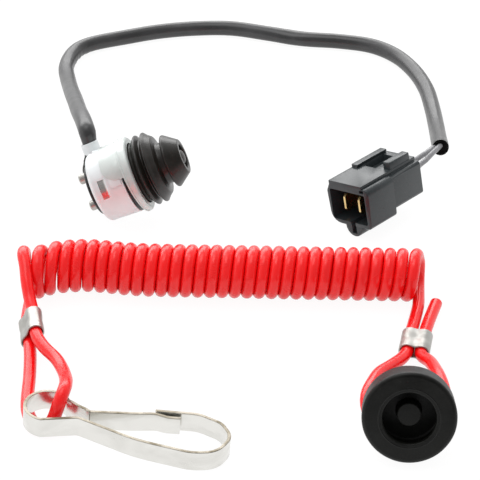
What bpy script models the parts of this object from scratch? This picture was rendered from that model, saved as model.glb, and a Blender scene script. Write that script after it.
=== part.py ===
"""Emergency stop switch for a motorbike: a push switch with its lead, and the cap on its coiled cord.

Sizes below are in millimetres. Places on the table are layout coordinates, moved by LAYOUT_SHIFT.
"""

import math

import bmesh
import bpy
from mathutils import Matrix, Vector

MM = 0.001
GAP = 0.3
REACH = 3.0
EASE = 0.15
OVERLAP = 0.1
TURN_STEPS = 32
SMALL_TURN_STEPS = 20
SMOOTH_ANGLE = 35.0
LAYOUT_SHIFT = Vector((0.74, 39.65, 0.0))

# Switch: local Z runs out of the plunger, local X is up in the picture, local Y faces the viewer
SWITCH_PLACE = Vector((-36.67, 15.72, 15.75))
SWITCH_OUT = Vector((0.9225, 0.049, 0.3828))
SWITCH_UP = Vector((-0.35, 0.524, 0.777))

CAN_RADIUS = 12.3
CAN_WALL = 0.8
CAN_FRONT = -1.0
CAN_LENGTH = 12.4
CAN_CORNER = 2.6
CAN_LIP = 2.9
CAN_INNER = CAN_RADIUS - CAN_WALL
CAN_LIP_RADIUS = CAN_RADIUS - CAN_LIP
CAN_REAR = CAN_FRONT - CAN_LENGTH

CRIMP_RISE = 5.0
CRIMP_PLACE = CAN_REAR + CRIMP_RISE
CRIMP_OFFSET = -1.2
CRIMP_WIDTH = 6.8
CRIMP_HEIGHT = 2.8
CRIMP_DEPTH = 0.45

BASE_RISE = 2.8
BASE_STEP = 0.4
BASE_FRONT = CAN_REAR + BASE_RISE
BASE_RADIUS = CAN_INNER - GAP
BASE_REAR = CAN_REAR + CAN_WALL + GAP

STUD_RADIUS = 1.5
STUD_NECK_RADIUS = 1.0
STUD_SPREAD = 4.8
STUD_OFFSET = 3.0
STUD_OUT_A = 3.4
STUD_OUT_B = 2.4
STUD_ROUND = 0.5
STUD_RIVET = 0.5

PLUNGER_RADIUS = 2.5
PLUNGER_TIP = 19.3
PLUNGER_DOME = 1.3
PLUNGER_DOME_STEPS = 4
PLUNGER_COLLAR = 3.4
PLUNGER_TAIL_RADIUS = 1.2
PLUNGER_TAIL = 0.7

GUIDE_FLANGE = 1.2
GUIDE_SPIGOT = 1.3
GUIDE_HUB = 1.0
GUIDE_HUB_RADIUS = 5.0
GUIDE_BACK = CAN_FRONT + GAP
GUIDE_FRONT = GUIDE_BACK + GUIDE_FLANGE
GUIDE_HUB_BACK = GUIDE_BACK - GUIDE_SPIGOT - GUIDE_HUB

SPRING_RADIUS = 2.5
SPRING_WIRE = 0.5
SPRING_TURNS = 3
SPRING_TURN_STEPS = 14
SPRING_SEAT_RADIUS = SPRING_RADIUS + SPRING_WIRE / 2 + GAP
SPRING_SEAT_DEPTH = 2.2

CONTACT_WIDTH = 4.4
CONTACT_SHEET = 0.5
CONTACT_CLEAR = 2.75
CONTACT_FOOT_CLEAR = 0.35
CONTACT_FINGER_CLEAR = 1.8
CONTACT_BEND = 0.9
CONTACT_DROP = 1.15
CONTACT_INSIDE = SPRING_SEAT_RADIUS + CONTACT_FOOT_CLEAR
CONTACT_RISER = CAN_INNER - CONTACT_CLEAR
CONTACT_FINGER = PLUNGER_COLLAR + CONTACT_FINGER_CLEAR
CONTACT_TOP = GUIDE_HUB_BACK - CONTACT_DROP
CONTACT_FOOT = BASE_FRONT + GAP + CONTACT_SHEET / 2

BRIDGE_CLEAR = 1.0
BRIDGE_WIDTH = 6.0
BRIDGE_SHEET = 0.8
BRIDGE_LENGTH = 2 * (CONTACT_RISER - CONTACT_SHEET / 2 - BRIDGE_CLEAR)
BRIDGE_TOP = CONTACT_TOP - CONTACT_SHEET / 2 - GAP

CLIP_RADIUS = 2.4
CLIP_SHEET = 0.5
CLIP_TOP = BRIDGE_TOP - BRIDGE_SHEET - GAP

BOOT_FOOT = 0.9
BOOT_FOOT_RADIUS = CAN_RADIUS - 0.1
BOOT_WALL = 1.5
BOOT_TIP_WALL = 1.8
BOOT_EDGE = 0.4
BOOT_CREASE = 0.15
BOOT_FILLET = 0.9
BOOT_TIP = 12.1
BOOT_VALLEY = 10.1
BOOT_PLEAT = 2.5
BOOT_FIRST_TIP = 5.3
BOOT_THROAT = 3.4
BOOT_NECK_RADIUS = 7.2
BOOT_NECK_START = 11.2
BOOT_HEAD_START = 13.5
BOOT_HEAD_RADIUS = 9.15
BOOT_HEAD_ROUND = 0.8
BOOT_HEAD_FRONT = 18.9
BOOT_FACE_RADIUS = 5.7
BOOT_RECESS_RADIUS = 4.2
BOOT_RECESS_DEPTH = 4.2
BOOT_BACK = GUIDE_FRONT + GAP

COLLAR_SHEET = 0.5
COLLAR_BORE = 10.7
COLLAR_SKIRT = 1.6
COLLAR_ROUND = 0.3
COLLAR_LIP = 0.9
COLLAR_LIP_RISE = 0.3
COLLAR_BACK = BOOT_BACK + BOOT_FOOT + GAP
COLLAR_FRONT = COLLAR_BACK + COLLAR_SHEET
COLLAR_RADIUS = CAN_RADIUS + 0.75
TAB_INNER = CAN_RADIUS + GAP
TAB_SHEET = 0.55
TAB_BACK = -6.5
TAB_LOW = -0.9
TAB_HIGH = 14.0
TAB_CORNER = 5.0
TAB_ROOT = 0.6
TAB_FAR = -4.5
LEAF_SHEET = 0.3
LEAF_BACK = -5.4
LEAF_LOW = -2.3
LEAF_FRONT = -1.6
LEAF_CORNER = 0.8

# Lead: what seats on the can is placed by its distance off the wall, degrees round it and rise from its rear
SLEEVE_DIAMETER = 6.0
SLEEVE_BORE = 4.9
SLEEVE_POCKET = 12.0
WIRE_DIAMETER = 1.9
TUBE_RESOLUTION = 3
CORD_RESOLUTION = 2
SLEEVE_START = ((-2.4, -0.43, 0.0), (0.4, 0.07, 0.0), (3.2, 0.47, -0.1))
SLEEVE_ROUTE = (
    (-53.2, 35.7, 21.6), (-55.3, 44.8, 20.8), (-57.8, 56.1, 18.0), (-60.8, 72.7, 13.2),
    (-63.6, 87.5, 8.8), (-66.4, 103.3, 4.9), (-68.2, 114.4, 3.3), (-68.1, 121.5, 3.05),
    (-66.8, 127.8, 3.05), (-64.2, 133.0, 3.05), (-58.6, 137.7, 3.05), (-47.1, 142.6, 3.05),
    (-32.7, 147.9, 3.05), (-18.0, 150.6, 3.05), (-3.3, 150.6, 3.05), (11.4, 146.1, 3.05),
    (26.0, 141.3, 3.05), (40.4, 139.1, 3.05), (53.1, 135.1, 3.05), (62.1, 126.6, 3.05),
    (68.2, 114.0, 3.05), (71.6, 99.5, 3.05), (72.5, 84.0, 3.4), (72.4, 69.6, 4.8),
    (71.7, 55.1, 7.8), (70.9, 41.0, 11.8),
)
CLAMP_SEAT = (6.64, -39.6, 1.4)
CLAMP_ALONG = Vector((0.985, 0.17, 0.0))
CLAMP_WIDTH = 3.8
CLAMP_SHEET = 0.5
CLAMP_FOOT_LENGTH = 6.0
CLAMP_FOOT_WIDTH = 3.2
CLAMP_FOOT_SHEET = 2.6
CLAMP_FOOT_BACK = 1.0
CLAMP_ANGLE = -32.0
GROMMET_DIAMETER = 6.2
GROMMET_NECK = 4.0
GROMMET_PITCH = 1.6
GROMMET_START = (-2.76, -0.49, 0.0)
GROMMET_ROUTE = (
    (3.88, -53.2, 1.4), (3.67, -62.0, 1.7), (3.95, -71.3, 2.5), (3.82, -78.5, 3.8),
    (2.48, -81.0, 4.9), (0.26, -80.8, 5.4), (-1.71, -79.1, 5.4),
)
GROMMET_HOLE = (-0.13, -80.5, 5.4)

# Connector: local X across, local Y from the mouth to the rear, local Z up
CONNECTOR_PLACE = Vector((29.7, 11.2, 16.85))
CONNECTOR_ACROSS = Vector((0.69, -0.68, 0.22))
CONNECTOR_UP = Vector((-0.16, 0.16, 0.97))
CONNECTOR_LENGTH = 28.0
SHROUD_LENGTH = 13.5
SHROUD_LEFT = -1.5
SHROUD_RIGHT = 17.2
SHROUD_BOTTOM = -15.6
SHROUD_TOP = -1.0
SHROUD_WALL = 1.55
SHROUD_SHOULDER = 3.0
SHROUD_STEP = 1.5
SHROUD_FLARE = 0.2
SHROUD_DRAFT = 0.6
SHROUD_FILLETS = (1.0, 0.6, 2.2, 1.6, 4.2)
SHROUD_EDGE = 0.35
CAVITY_EDGE = 0.6
CAVITY_TOP = -3.0
CAVITY_DEPTH = 12.0
REAR_LEFT = -0.3
REAR_RIGHT = 16.6
REAR_BOTTOM = -13.4
REAR_STEP = 0.3
REAR_FILLETS = (0.4, 1.2, 1.2, 1.6)
KEY_PLACE = 8.9
KEY_RADIUS = 3.6
KEY_SLOT = 2.0
KEY_FRONT = 0.2
KEY_FLOOR = 1.0
PLATE_WIDTH = 14.6
PLATE_SHEET = 1.5
WINDOW_START = 14.6
WINDOW_END = 25.2
WINDOW_LEFT = 2.6
WINDOW_RIGHT = 8.6
WINDOW_DEPTH = 2.6
RAIL_WIDTH = 2.0
RAIL_HEIGHT = 1.1
RAIL_START = 12.0
RAIL_LIP = 0.7
RAIL_SEAT = 0.5
RAIL_END = 0.8
BLOCK_WIDTH = 3.4
BLOCK_HEIGHT = 2.5
BLOCK_START = 15.5
BLOCK_END = 25.8
BLOCK_EDGE = 0.5
BLOCK_INSET = 0.2
GROOVE_WIDTH = 0.9
BLADE_PLACES = (4.4, 10.9)
BLADE_MIDDLE = -8.5
BLADE_HEIGHT = 6.3
BLADE_SHEET = 0.8
BLADE_TIP = 2.0
BLADE_CHAMFER = 1.0
BARREL_RADIUS = 1.7
BARREL_START = 14.6
BARREL_END = 21.0
BAR_HEIGHT = 2.8
BAR_REACH = 2.0
BORE_RADIUS = BARREL_RADIUS + GAP
WIRE_ROUTE_A = (
    (58.2, 31.2, 9.7), (62.8, 34.6, 10.7), (66.8, 37.4, 11.8), (69.6, 40.6, 12.4), (70.5, 45.0, 11.5),
    (70.9, 50.0, 10.0),
)
WIRE_ROUTE_B = (
    (61.9, 26.2, 10.9), (66.4, 30.4, 10.9), (70.0, 35.0, 11.1), (71.7, 41.0, 10.7), (72.2, 48.8, 8.9),
)
WIRE_TAIL = 0.5
WIRE_PITCH = 4.5

# Coiled cord, its leads and crimps
CORD_DIAMETER = 3.9
CORD_PITCH = 3.0
COIL_RESOLUTION = 4
COIL_DIAMETER = 17.2
COIL_ENDS = ((-64.6, -28.8), (54.3, -32.7))
COIL_HEIGHT = COIL_DIAMETER / 2
HOOK_LEAD_ROUTE = (
    (-68.3, -22.15, 8.6), (-68.3, -23.2, 12.2), (-68.3, -26.2, 14.8), (-68.1, -29.8, 15.3),
    (-67.4, -34.2, 14.0), (-66.9, -39.6, 11.2), (-65.7, -44.4, 8.0), (-64.3, -49.4, 6.45),
    (-63.5, -54.0, 6.4), (-62.7, -58.6, 6.35), (-59.9, -64.4, 6.2), (-55.8, -71.4, 6.6),
    (-52.4, -79.0, 8.4), (-50.9, -86.0, 11.2), (-51.0, -91.6, 12.9), (-52.0, -95.4, 12.9),
    (-53.2, -98.6, 10.6), (-54.0, -100.6, 7.2), (-55.6, -101.9, 4.0), (-58.0, -101.5, 2.1),
    (-60.8, -98.6, 2.0), (-62.7, -93.6, 2.0), (-63.4, -87.0, 2.0), (-63.6, -76.0, 2.05),
    (-64.0, -66.0, 2.4), (-64.9, -58.4, 2.75), (-65.7, -54.0, 2.78), (-66.5, -49.6, 2.75),
    (-67.7, -44.0, 2.3), (-68.8, -38.6, 2.0),
)
CAP_LEAD_ROUTE = (
    (57.6, -26.15, 11.0), (57.6, -26.0, 7.6), (57.6, -27.4, 4.4), (57.4, -30.3, 2.3),
    (57.0, -35.2, 2.0), (56.5, -40.0, 2.0), (55.1, -46.4, 2.3), (53.5, -52.9, 2.7),
    (52.65, -56.4, 2.75), (51.75, -60.6, 2.75), (50.85, -64.8, 2.8), (48.9, -69.2, 3.6),
    (45.2, -74.8, 5.2), (41.2, -80.6, 7.0), (38.0, -86.8, 8.5), (35.7, -92.6, 9.2),
    (35.0, -97.2, 8.2), (37.0, -100.4, 5.2), (41.6, -101.9, 2.9), (48.0, -102.3, 2.0),
    (54.2, -101.7, 2.8), (58.8, -99.8, 5.2), (60.8, -96.2, 8.6), (60.8, -90.6, 9.4),
    (59.9, -84.4, 8.6), (58.7, -78.2, 6.8), (57.0, -72.4, 4.8), (55.4, -68.2, 3.3),
    (55.05, -65.2, 2.8), (55.95, -61.0, 2.75), (56.85, -56.8, 2.75), (57.85, -52.9, 2.7),
    (60.0, -45.8, 2.3), (62.3, -38.8, 2.0),
)
CRIMP_SHEET = 0.4
CRIMP_LENGTH = 9.0
CRIMP_HOOK_PLACE = Vector((-64.6, -54.0, 4.59))
CRIMP_HOOK_ALONG = Vector((0.178, -0.984, 0.0))
CRIMP_HOOK_ACROSS = Vector((2.2, 0.0, 3.62))
CRIMP_CAP_PLACE = Vector((53.8, -60.8, 2.75))
CRIMP_CAP_ALONG = Vector((-0.205, -0.979, 0.0))
CRIMP_CAP_ACROSS = Vector((4.2, -0.88, 0.0))

# Cap: local Z runs out of its mouth
CAP_PLACE = Vector((47.1, -111.1, 14.94))
CAP_ELEVATION = 20.0
CAP_YAW = -4.0
CAP_RADIUS = 13.4
CAP_TAPER = 0.2
CAP_SIDE = 7.4
CAP_MOUTH_RADIUS = 7.55
CAP_MOUTH_EDGE = 0.5
CAP_RIM_EDGE = 0.7
CAP_CHAMBER_RADIUS = 9.3
CAP_CHAMBER_DEPTH = 8.0
CAP_LIP = 1.6
CAP_LIP_SLOPE = 0.9
CAP_CHAMBER_ROUND = 1.0
CAP_BOSS_RADIUS = 3.4
CAP_BOSS_FRONT = 3.5
CAP_NECK_RADIUS = 5.8
CAP_NECK_START = 10.6
CAP_NECK_END = 15.2
CAP_NECK_FLARE = 3.2
CAP_KNOB_RADIUS = 8.8
CAP_KNOB_EDGE = 0.6
CAP_EDGE = 0.3
CAP_DEPTH = 19.5

# Spring hook: a strip on edge, in its own tilted plane, with its origin on the gate's hinge
HOOK_PLACE = Vector((-43.1, -101.1, 3.05))
HOOK_TILT = 4.3
HOOK_SHEET = 1.0
HOOK_HEIGHT = 6.4
GATE_TIP_HEIGHT = 5.0
RING_PLACE = Vector((-12.3, 1.7))
RING_RADIUS = 6.4
RING_SWEEP = (26.0, 258.0)
HOOK_NECK = ((-0.15, 0.05), (-3.0, 2.0))
HOOK_ARM = (
    ((-3.3, -2.9), 3.0), ((13.4, -11.0), 40.0), ((29.1, -15.1), 12.0), ((36.8, -14.6), 6.0),
    ((40.6, -7.4), 4.0), ((37.6, -1.9), 5.0), ((31.0, 1.6), 9.0), ((18.5, 2.1), 0.0),
)
GATE_PATH = (
    ((0.15, 0.0), 0.0), ((12.8, 0.35), 40.0), ((18.6, 0.75), 6.0), ((22.0, -0.75), 6.0),
    ((25.8, -1.0), 0.0),
)


def clear_scene():
    for old in list(bpy.data.objects):
        bpy.data.objects.remove(old, do_unlink=True)


def new_collection(name):
    made = bpy.data.collections.new(name)
    bpy.context.scene.collection.children.link(made)
    return made


def material(name, colour, roughness, metallic=0.0):
    made = bpy.data.materials.new(name)
    made.use_nodes = True
    shader = made.node_tree.nodes["Principled BSDF"]
    shader.inputs["Base Color"].default_value = (*colour, 1.0)
    shader.inputs["Roughness"].default_value = roughness
    shader.inputs["Metallic"].default_value = metallic
    made.diffuse_color = (*colour, 1.0)
    return made


def add_object(name, data, parent=None, place=(0, 0, 0), surface=None):
    """A node of the part, placed in millimetres under its parent."""
    made = bpy.data.objects.new(name, data)
    parts.objects.link(made)
    made.parent = parent
    made.location = Vector(place) * MM
    if surface:
        data.materials.append(surface)
    return made


def add_tool(name, data, parent=None, place=(0, 0, 0)):
    """A helper that only cuts or joins, kept out of the render."""
    made = bpy.data.objects.new(name, data)
    cutters.objects.link(made)
    made.parent = parent
    made.location = Vector(place) * MM
    made.hide_render = True
    made.display_type = "WIRE"
    return made


def add_frame(name, place, out, along):
    """An empty at a layout place, with local Z along out and local X near along."""
    z_axis = out.normalized()
    x_axis = (along - z_axis * along.dot(z_axis)).normalized()
    y_axis = z_axis.cross(x_axis)
    made = bpy.data.objects.new(name, None)
    parts.objects.link(made)
    made.location = (place + LAYOUT_SHIFT) * MM
    made.rotation_euler = Matrix((x_axis, y_axis, z_axis)).transposed().to_euler()
    return made


def turn_to(thing, out, along):
    z_axis = out.normalized()
    x_axis = (along - z_axis * along.dot(z_axis)).normalized()
    thing.rotation_euler = Matrix((x_axis, z_axis.cross(x_axis), z_axis)).transposed().to_euler()


def combine(thing, tool, operation="DIFFERENCE"):
    step = thing.modifiers.new(f"{operation.lower()} {tool.name}", "BOOLEAN")
    step.operation = operation
    step.solver = "EXACT"
    step.object = tool


def arc(centre, radius, start, end, steps=4):
    """Points on an arc, from start to end degrees."""
    points = []
    for step in range(steps + 1):
        angle = math.radians(start + (end - start) * step / steps)
        points.append((centre[0] + radius * math.cos(angle), centre[1] + radius * math.sin(angle)))
    return points


def filleted(corners, closed=False, spread=18.0):
    """A 2D path through corner points given as ((x, y), fillet radius)."""
    path = []
    count = len(corners)
    for index, (corner, radius) in enumerate(corners):
        at = Vector(corner)
        last = index in (0, count - 1) and not closed
        if radius == 0 or last:
            path.append(at)
            continue
        to_before = Vector(corners[index - 1][0]) - at
        to_after = Vector(corners[(index + 1) % count][0]) - at
        half = to_before.angle(to_after) / 2
        reach = min(radius / math.tan(half), 0.49 * to_before.length, 0.49 * to_after.length)
        fitted = reach * math.tan(half)
        start = at + to_before.normalized() * reach
        centre = at + (to_before.normalized() + to_after.normalized()).normalized() * (fitted / math.sin(half))
        swing = math.pi - 2 * half
        steps = max(2, round(math.degrees(swing) / spread))
        side = 1 if to_before.cross(to_after) < 0 else -1
        for step in range(steps + 1):
            turn = Matrix.Rotation(side * swing * step / steps, 2)
            path.append(centre + turn @ (start - centre))
    return path


def shade(mesh):
    """Smooth faces with sharp edges where the surface turns hard."""
    mesh.shade_smooth()
    mesh.set_sharp_from_angle(angle=math.radians(SMOOTH_ANGLE))


def turned_mesh(name, outline, closed=True):
    """Edges of a profile given as (radius, height), top to bottom on its outer side."""
    mesh = bpy.data.meshes.new(name)
    points = [(radius * MM, 0.0, height * MM) for radius, height in outline]
    edges = [(index, index + 1) for index in range(len(points) - 1)]
    if closed:
        edges.append((len(points) - 1, 0))
    mesh.from_pydata(points, edges, [])
    return mesh


def spin(thing, steps=TURN_STEPS):
    screw = thing.modifiers.new("turn", "SCREW")
    screw.axis = "Z"
    screw.steps = steps
    screw.render_steps = steps
    screw.use_merge_vertices = True
    screw.merge_threshold = 0.00001
    screw.use_smooth_shade = True
    return thing


def ease_edges(work, edges, width, segments):
    bmesh.ops.bevel(
        work, geom=edges, offset=width * MM, segments=segments, affect="EDGES", profile=0.5, material=-1
    )


def prism_mesh(name, outline, depth, edge=0.0):
    """A flat outline in local X and Z, pushed along local Y from zero to depth."""
    mesh = bpy.data.meshes.new(name)
    work = bmesh.new()
    corners = [work.verts.new((x * MM, 0.0, z * MM)) for x, z in outline]
    face = work.faces.new(corners)
    pushed = bmesh.ops.extrude_face_region(work, geom=[face])
    moved = [item for item in pushed["geom"] if isinstance(item, bmesh.types.BMVert)]
    bmesh.ops.translate(work, verts=moved, vec=(0.0, depth * MM, 0.0))
    bmesh.ops.recalc_face_normals(work, faces=work.faces)
    if edge:
        rims = [item for item in work.edges if abs(item.calc_face_angle(0.0)) > 1.0]
        ease_edges(work, rims, edge, 1)
    work.to_mesh(mesh)
    work.free()
    shade(mesh)
    return mesh


def box_mesh(name, low, high, edge=0.0):
    """A box between two corners, with its edges eased by a small bevel."""
    mesh = bpy.data.meshes.new(name)
    work = bmesh.new()
    bmesh.ops.create_cube(work, size=1.0)
    size = (Vector(high) - Vector(low)) * MM
    middle = (Vector(high) + Vector(low)) * MM / 2
    bmesh.ops.scale(work, vec=size, verts=work.verts)
    bmesh.ops.translate(work, vec=middle, verts=work.verts)
    if edge:
        ease_edges(work, list(work.edges), edge, 2)
    work.to_mesh(mesh)
    work.free()
    shade(mesh)
    return mesh


def rod_mesh(name, radius, start, end, axis="Z"):
    """A cylinder along local Y or Z, from start to end."""
    mesh = bpy.data.meshes.new(name)
    work = bmesh.new()
    bmesh.ops.create_cone(
        work,
        cap_ends=True,
        segments=SMALL_TURN_STEPS,
        radius1=radius * MM,
        radius2=radius * MM,
        depth=(end - start) * MM,
    )
    bmesh.ops.translate(work, vec=(0.0, 0.0, (start + end) / 2 * MM), verts=work.verts)
    if axis == "Y":
        lay_down = Matrix.Rotation(math.radians(-90), 3, "X")
        bmesh.ops.rotate(work, cent=(0, 0, 0), matrix=lay_down, verts=work.verts)
    work.to_mesh(mesh)
    work.free()
    shade(mesh)
    return mesh


def smooth_route(points, spacing):
    """Evenly spaced points on a smooth curve through the route's own points."""
    ends = [points[0] * 2 - points[1], *points, points[-1] * 2 - points[-2]]
    fine = []
    for index in range(1, len(ends) - 2):
        before, start, end, after = ends[index - 1 : index + 3]
        for step in range(16):
            t = step / 16
            bend = 2 * before - 5 * start + 4 * end - after
            twist = 3 * start - before - 3 * end + after
            fine.append(0.5 * (2 * start + (end - before) * t + bend * t**2 + twist * t**3))
    fine.append(points[-1])
    steps = [(b - a).length for a, b in zip(fine, fine[1:])]
    count = max(2, round(sum(steps) / spacing))
    pitch = sum(steps) / count
    route = [fine[0]]
    walked = 0.0
    for start, end, step in zip(fine, fine[1:], steps):
        while len(route) < count and walked + step >= pitch * len(route):
            route.append(start.lerp(end, (pitch * len(route) - walked) / step))
        walked += step
    route.append(fine[-1])
    return route


def cord_curve(name, route, diameter, resolution, end_radius=None):
    """A round tube along points in metres. The last points may narrow to end_radius."""
    curve = bpy.data.curves.new(name, "CURVE")
    curve.dimensions = "3D"
    curve.bevel_depth = diameter / 2 * MM
    curve.bevel_resolution = resolution
    curve.use_fill_caps = True
    spline = curve.splines.new("POLY")
    spline.points.add(len(route) - 1)
    for point, place in zip(spline.points, route):
        point.co = (*place, 1.0)
    if end_radius:
        for point in list(spline.points)[-3:]:
            point.radius = end_radius / (diameter / 2)
    return curve


def cord_mesh(name, route, diameter, resolution):
    """The same tube as a closed mesh, for a tool that cuts."""
    curve = cord_curve(name, route, diameter, resolution)
    holder = bpy.data.objects.new(name, curve)
    bpy.context.scene.collection.objects.link(holder)
    graph = bpy.context.evaluated_depsgraph_get()
    mesh = bpy.data.meshes.new_from_object(holder.evaluated_get(graph))
    bpy.data.objects.remove(holder, do_unlink=True)
    weld(mesh)
    return mesh


def weld(mesh):
    work = bmesh.new()
    work.from_mesh(mesh)
    bmesh.ops.remove_doubles(work, verts=work.verts, dist=0.000001)
    bmesh.ops.recalc_face_normals(work, faces=work.faces)
    work.to_mesh(mesh)
    work.free()


def on_table(points):
    """Layout points in metres."""
    return [(Vector(point) + LAYOUT_SHIFT) * MM for point in points]


def in_frame(frame, points):
    """Points of an empty's own frame, in metres on the table."""
    bpy.context.view_layer.update()
    return [frame.matrix_world @ (Vector(point) * MM) for point in points]


def round_can(stand, degrees, rise):
    """A point of the switch's frame, off the can's wall, turned round it and up from its rear."""
    angle = math.radians(degrees)
    radius = CAN_RADIUS + stand
    return Vector((radius * math.cos(angle), radius * math.sin(angle), CAN_REAR + rise))


def strip_mesh(name, path, height):
    """A strip on edge along a 2D path: edges pulled up by its height."""
    mesh = bpy.data.meshes.new(name)
    work = bmesh.new()
    row = [work.verts.new((x * MM, y * MM, 0.0)) for x, y in path]
    edges = [work.edges.new(pair) for pair in zip(row, row[1:])]
    pulled = bmesh.ops.extrude_edge_only(work, edges=edges)
    moved = [item for item in pulled["geom"] if isinstance(item, bmesh.types.BMVert)]
    bmesh.ops.translate(work, verts=moved, vec=(0.0, 0.0, height * MM))
    work.to_mesh(mesh)
    work.free()
    return mesh


def thicken(thing, sheet, edge=0.0):
    solid = thing.modifiers.new("sheet", "SOLIDIFY")
    solid.thickness = sheet * MM
    solid.offset = 0.0
    if edge:
        ease = thing.modifiers.new("eased edges", "BEVEL")
        ease.width = edge * MM
        ease.segments = 1
        ease.limit_method = "ANGLE"
        ease.angle_limit = math.radians(60)
    return thing


def build_can(switch):
    corner_radius = CAN_RADIUS - CAN_CORNER
    corner_height = CAN_REAR + CAN_CORNER
    outline = [
        (CAN_RADIUS, CAN_FRONT),
        *arc((corner_radius, corner_height), CAN_CORNER, 0, -90, 5),
        (CAN_LIP_RADIUS, CAN_REAR),
        (CAN_LIP_RADIUS, CAN_REAR + CAN_WALL),
        *arc((corner_radius, corner_height), CAN_CORNER - CAN_WALL, -90, 0, 4),
        (CAN_INNER, CAN_FRONT),
    ]
    can = spin(add_object("housing_can", turned_mesh("housing_can", outline), switch, surface=steel_plate))
    ring = turned_mesh(
        "crimp_ring",
        (
            (CAN_RADIUS + REACH, CRIMP_PLACE + CRIMP_HEIGHT / 2),
            (CAN_RADIUS + REACH, CRIMP_PLACE - CRIMP_HEIGHT / 2),
            (CAN_RADIUS - CRIMP_DEPTH, CRIMP_PLACE - CRIMP_HEIGHT / 2),
            (CAN_RADIUS - CRIMP_DEPTH, CRIMP_PLACE + CRIMP_HEIGHT / 2),
        ),
    )
    crimp = spin(add_tool("crimp_recess", ring, switch))
    window = box_mesh(
        "crimp_window",
        (CRIMP_OFFSET - CRIMP_WIDTH / 2, REACH, CRIMP_PLACE - CRIMP_HEIGHT),
        (CRIMP_OFFSET + CRIMP_WIDTH / 2, CAN_RADIUS + 2 * REACH, CRIMP_PLACE + CRIMP_HEIGHT),
    )
    combine(crimp, add_tool("crimp_window", window, switch), "INTERSECT")
    combine(can, crimp)
    hole = rod_mesh("grommet_hole", GROMMET_NECK / 2 + GAP, -REACH, REACH, "Y")
    combine(can, add_tool("grommet_hole", hole, switch, round_can(*GROMMET_HOLE)))


def build_base(switch):
    """The disc that closes the rear, bored for the studs, with a seat for the spring."""
    lip = CAN_LIP_RADIUS - GAP
    seat_floor = BASE_FRONT - SPRING_SEAT_DEPTH
    outline = (
        (0.0, seat_floor),
        (SPRING_SEAT_RADIUS, seat_floor),
        (SPRING_SEAT_RADIUS, BASE_FRONT),
        (BASE_RADIUS, BASE_FRONT),
        (BASE_RADIUS, CAN_REAR + CAN_CORNER),
        (CAN_RADIUS - CAN_CORNER, BASE_REAR),
        (lip, BASE_REAR),
        (lip, CAN_REAR - BASE_STEP),
        (0.0, CAN_REAR - BASE_STEP),
    )
    mesh = turned_mesh("base_disc", outline, closed=False)
    base = spin(add_object("base_disc", mesh, switch, surface=black_plastic))
    for side in (1, -1):
        bore = rod_mesh("stud_bore", STUD_RADIUS + GAP, CAN_REAR - REACH, BASE_FRONT + REACH)
        combine(base, add_tool("stud_bore", bore, switch, (side * STUD_SPREAD, STUD_OFFSET, 0.0)))


def build_terminals(switch):
    """Two studs through the base, each with its own spring contact inside the can."""
    for name, side, out in (("a", 1, STUD_OUT_A), ("b", -1, STUD_OUT_B)):
        back = CAN_REAR - out
        top = CONTACT_FOOT + CONTACT_SHEET / 2 + STUD_RIVET
        outline = (
            (0.0, top),
            (STUD_NECK_RADIUS, top),
            (STUD_NECK_RADIUS, BASE_FRONT),
            (STUD_RADIUS, BASE_FRONT),
            *arc((STUD_RADIUS - STUD_ROUND, back + STUD_ROUND), STUD_ROUND, 0, -90, 3),
            (0.0, back),
        )
        mesh = turned_mesh(f"terminal_stud_{name}", outline, closed=False)
        place = (side * STUD_SPREAD, STUD_OFFSET, 0.0)
        spin(add_object(f"terminal_stud_{name}", mesh, switch, place, nickel), SMALL_TURN_STEPS)

        path = filleted(
            (
                ((side * CONTACT_INSIDE, CONTACT_FOOT), 0.0),
                ((side * CONTACT_RISER, CONTACT_FOOT), CONTACT_BEND),
                ((side * CONTACT_RISER, CONTACT_TOP), CONTACT_BEND),
                ((side * CONTACT_FINGER, CONTACT_TOP), 0.0),
            )
        )
        strip = strip_mesh(f"fixed_contact_{name}", path, CONTACT_WIDTH)
        strip.transform(Matrix.Rotation(math.radians(90), 4, "X"))
        strip_place = (0.0, STUD_OFFSET + CONTACT_WIDTH / 2, 0.0)
        contact = add_object(f"fixed_contact_{name}", strip, switch, strip_place, brass)
        thicken(contact, CONTACT_SHEET)
        hole = rod_mesh("rivet_hole", STUD_NECK_RADIUS + GAP, CONTACT_FOOT - REACH, CONTACT_FOOT + REACH)
        combine(contact, add_tool("rivet_hole", hole, switch, place))


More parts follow.
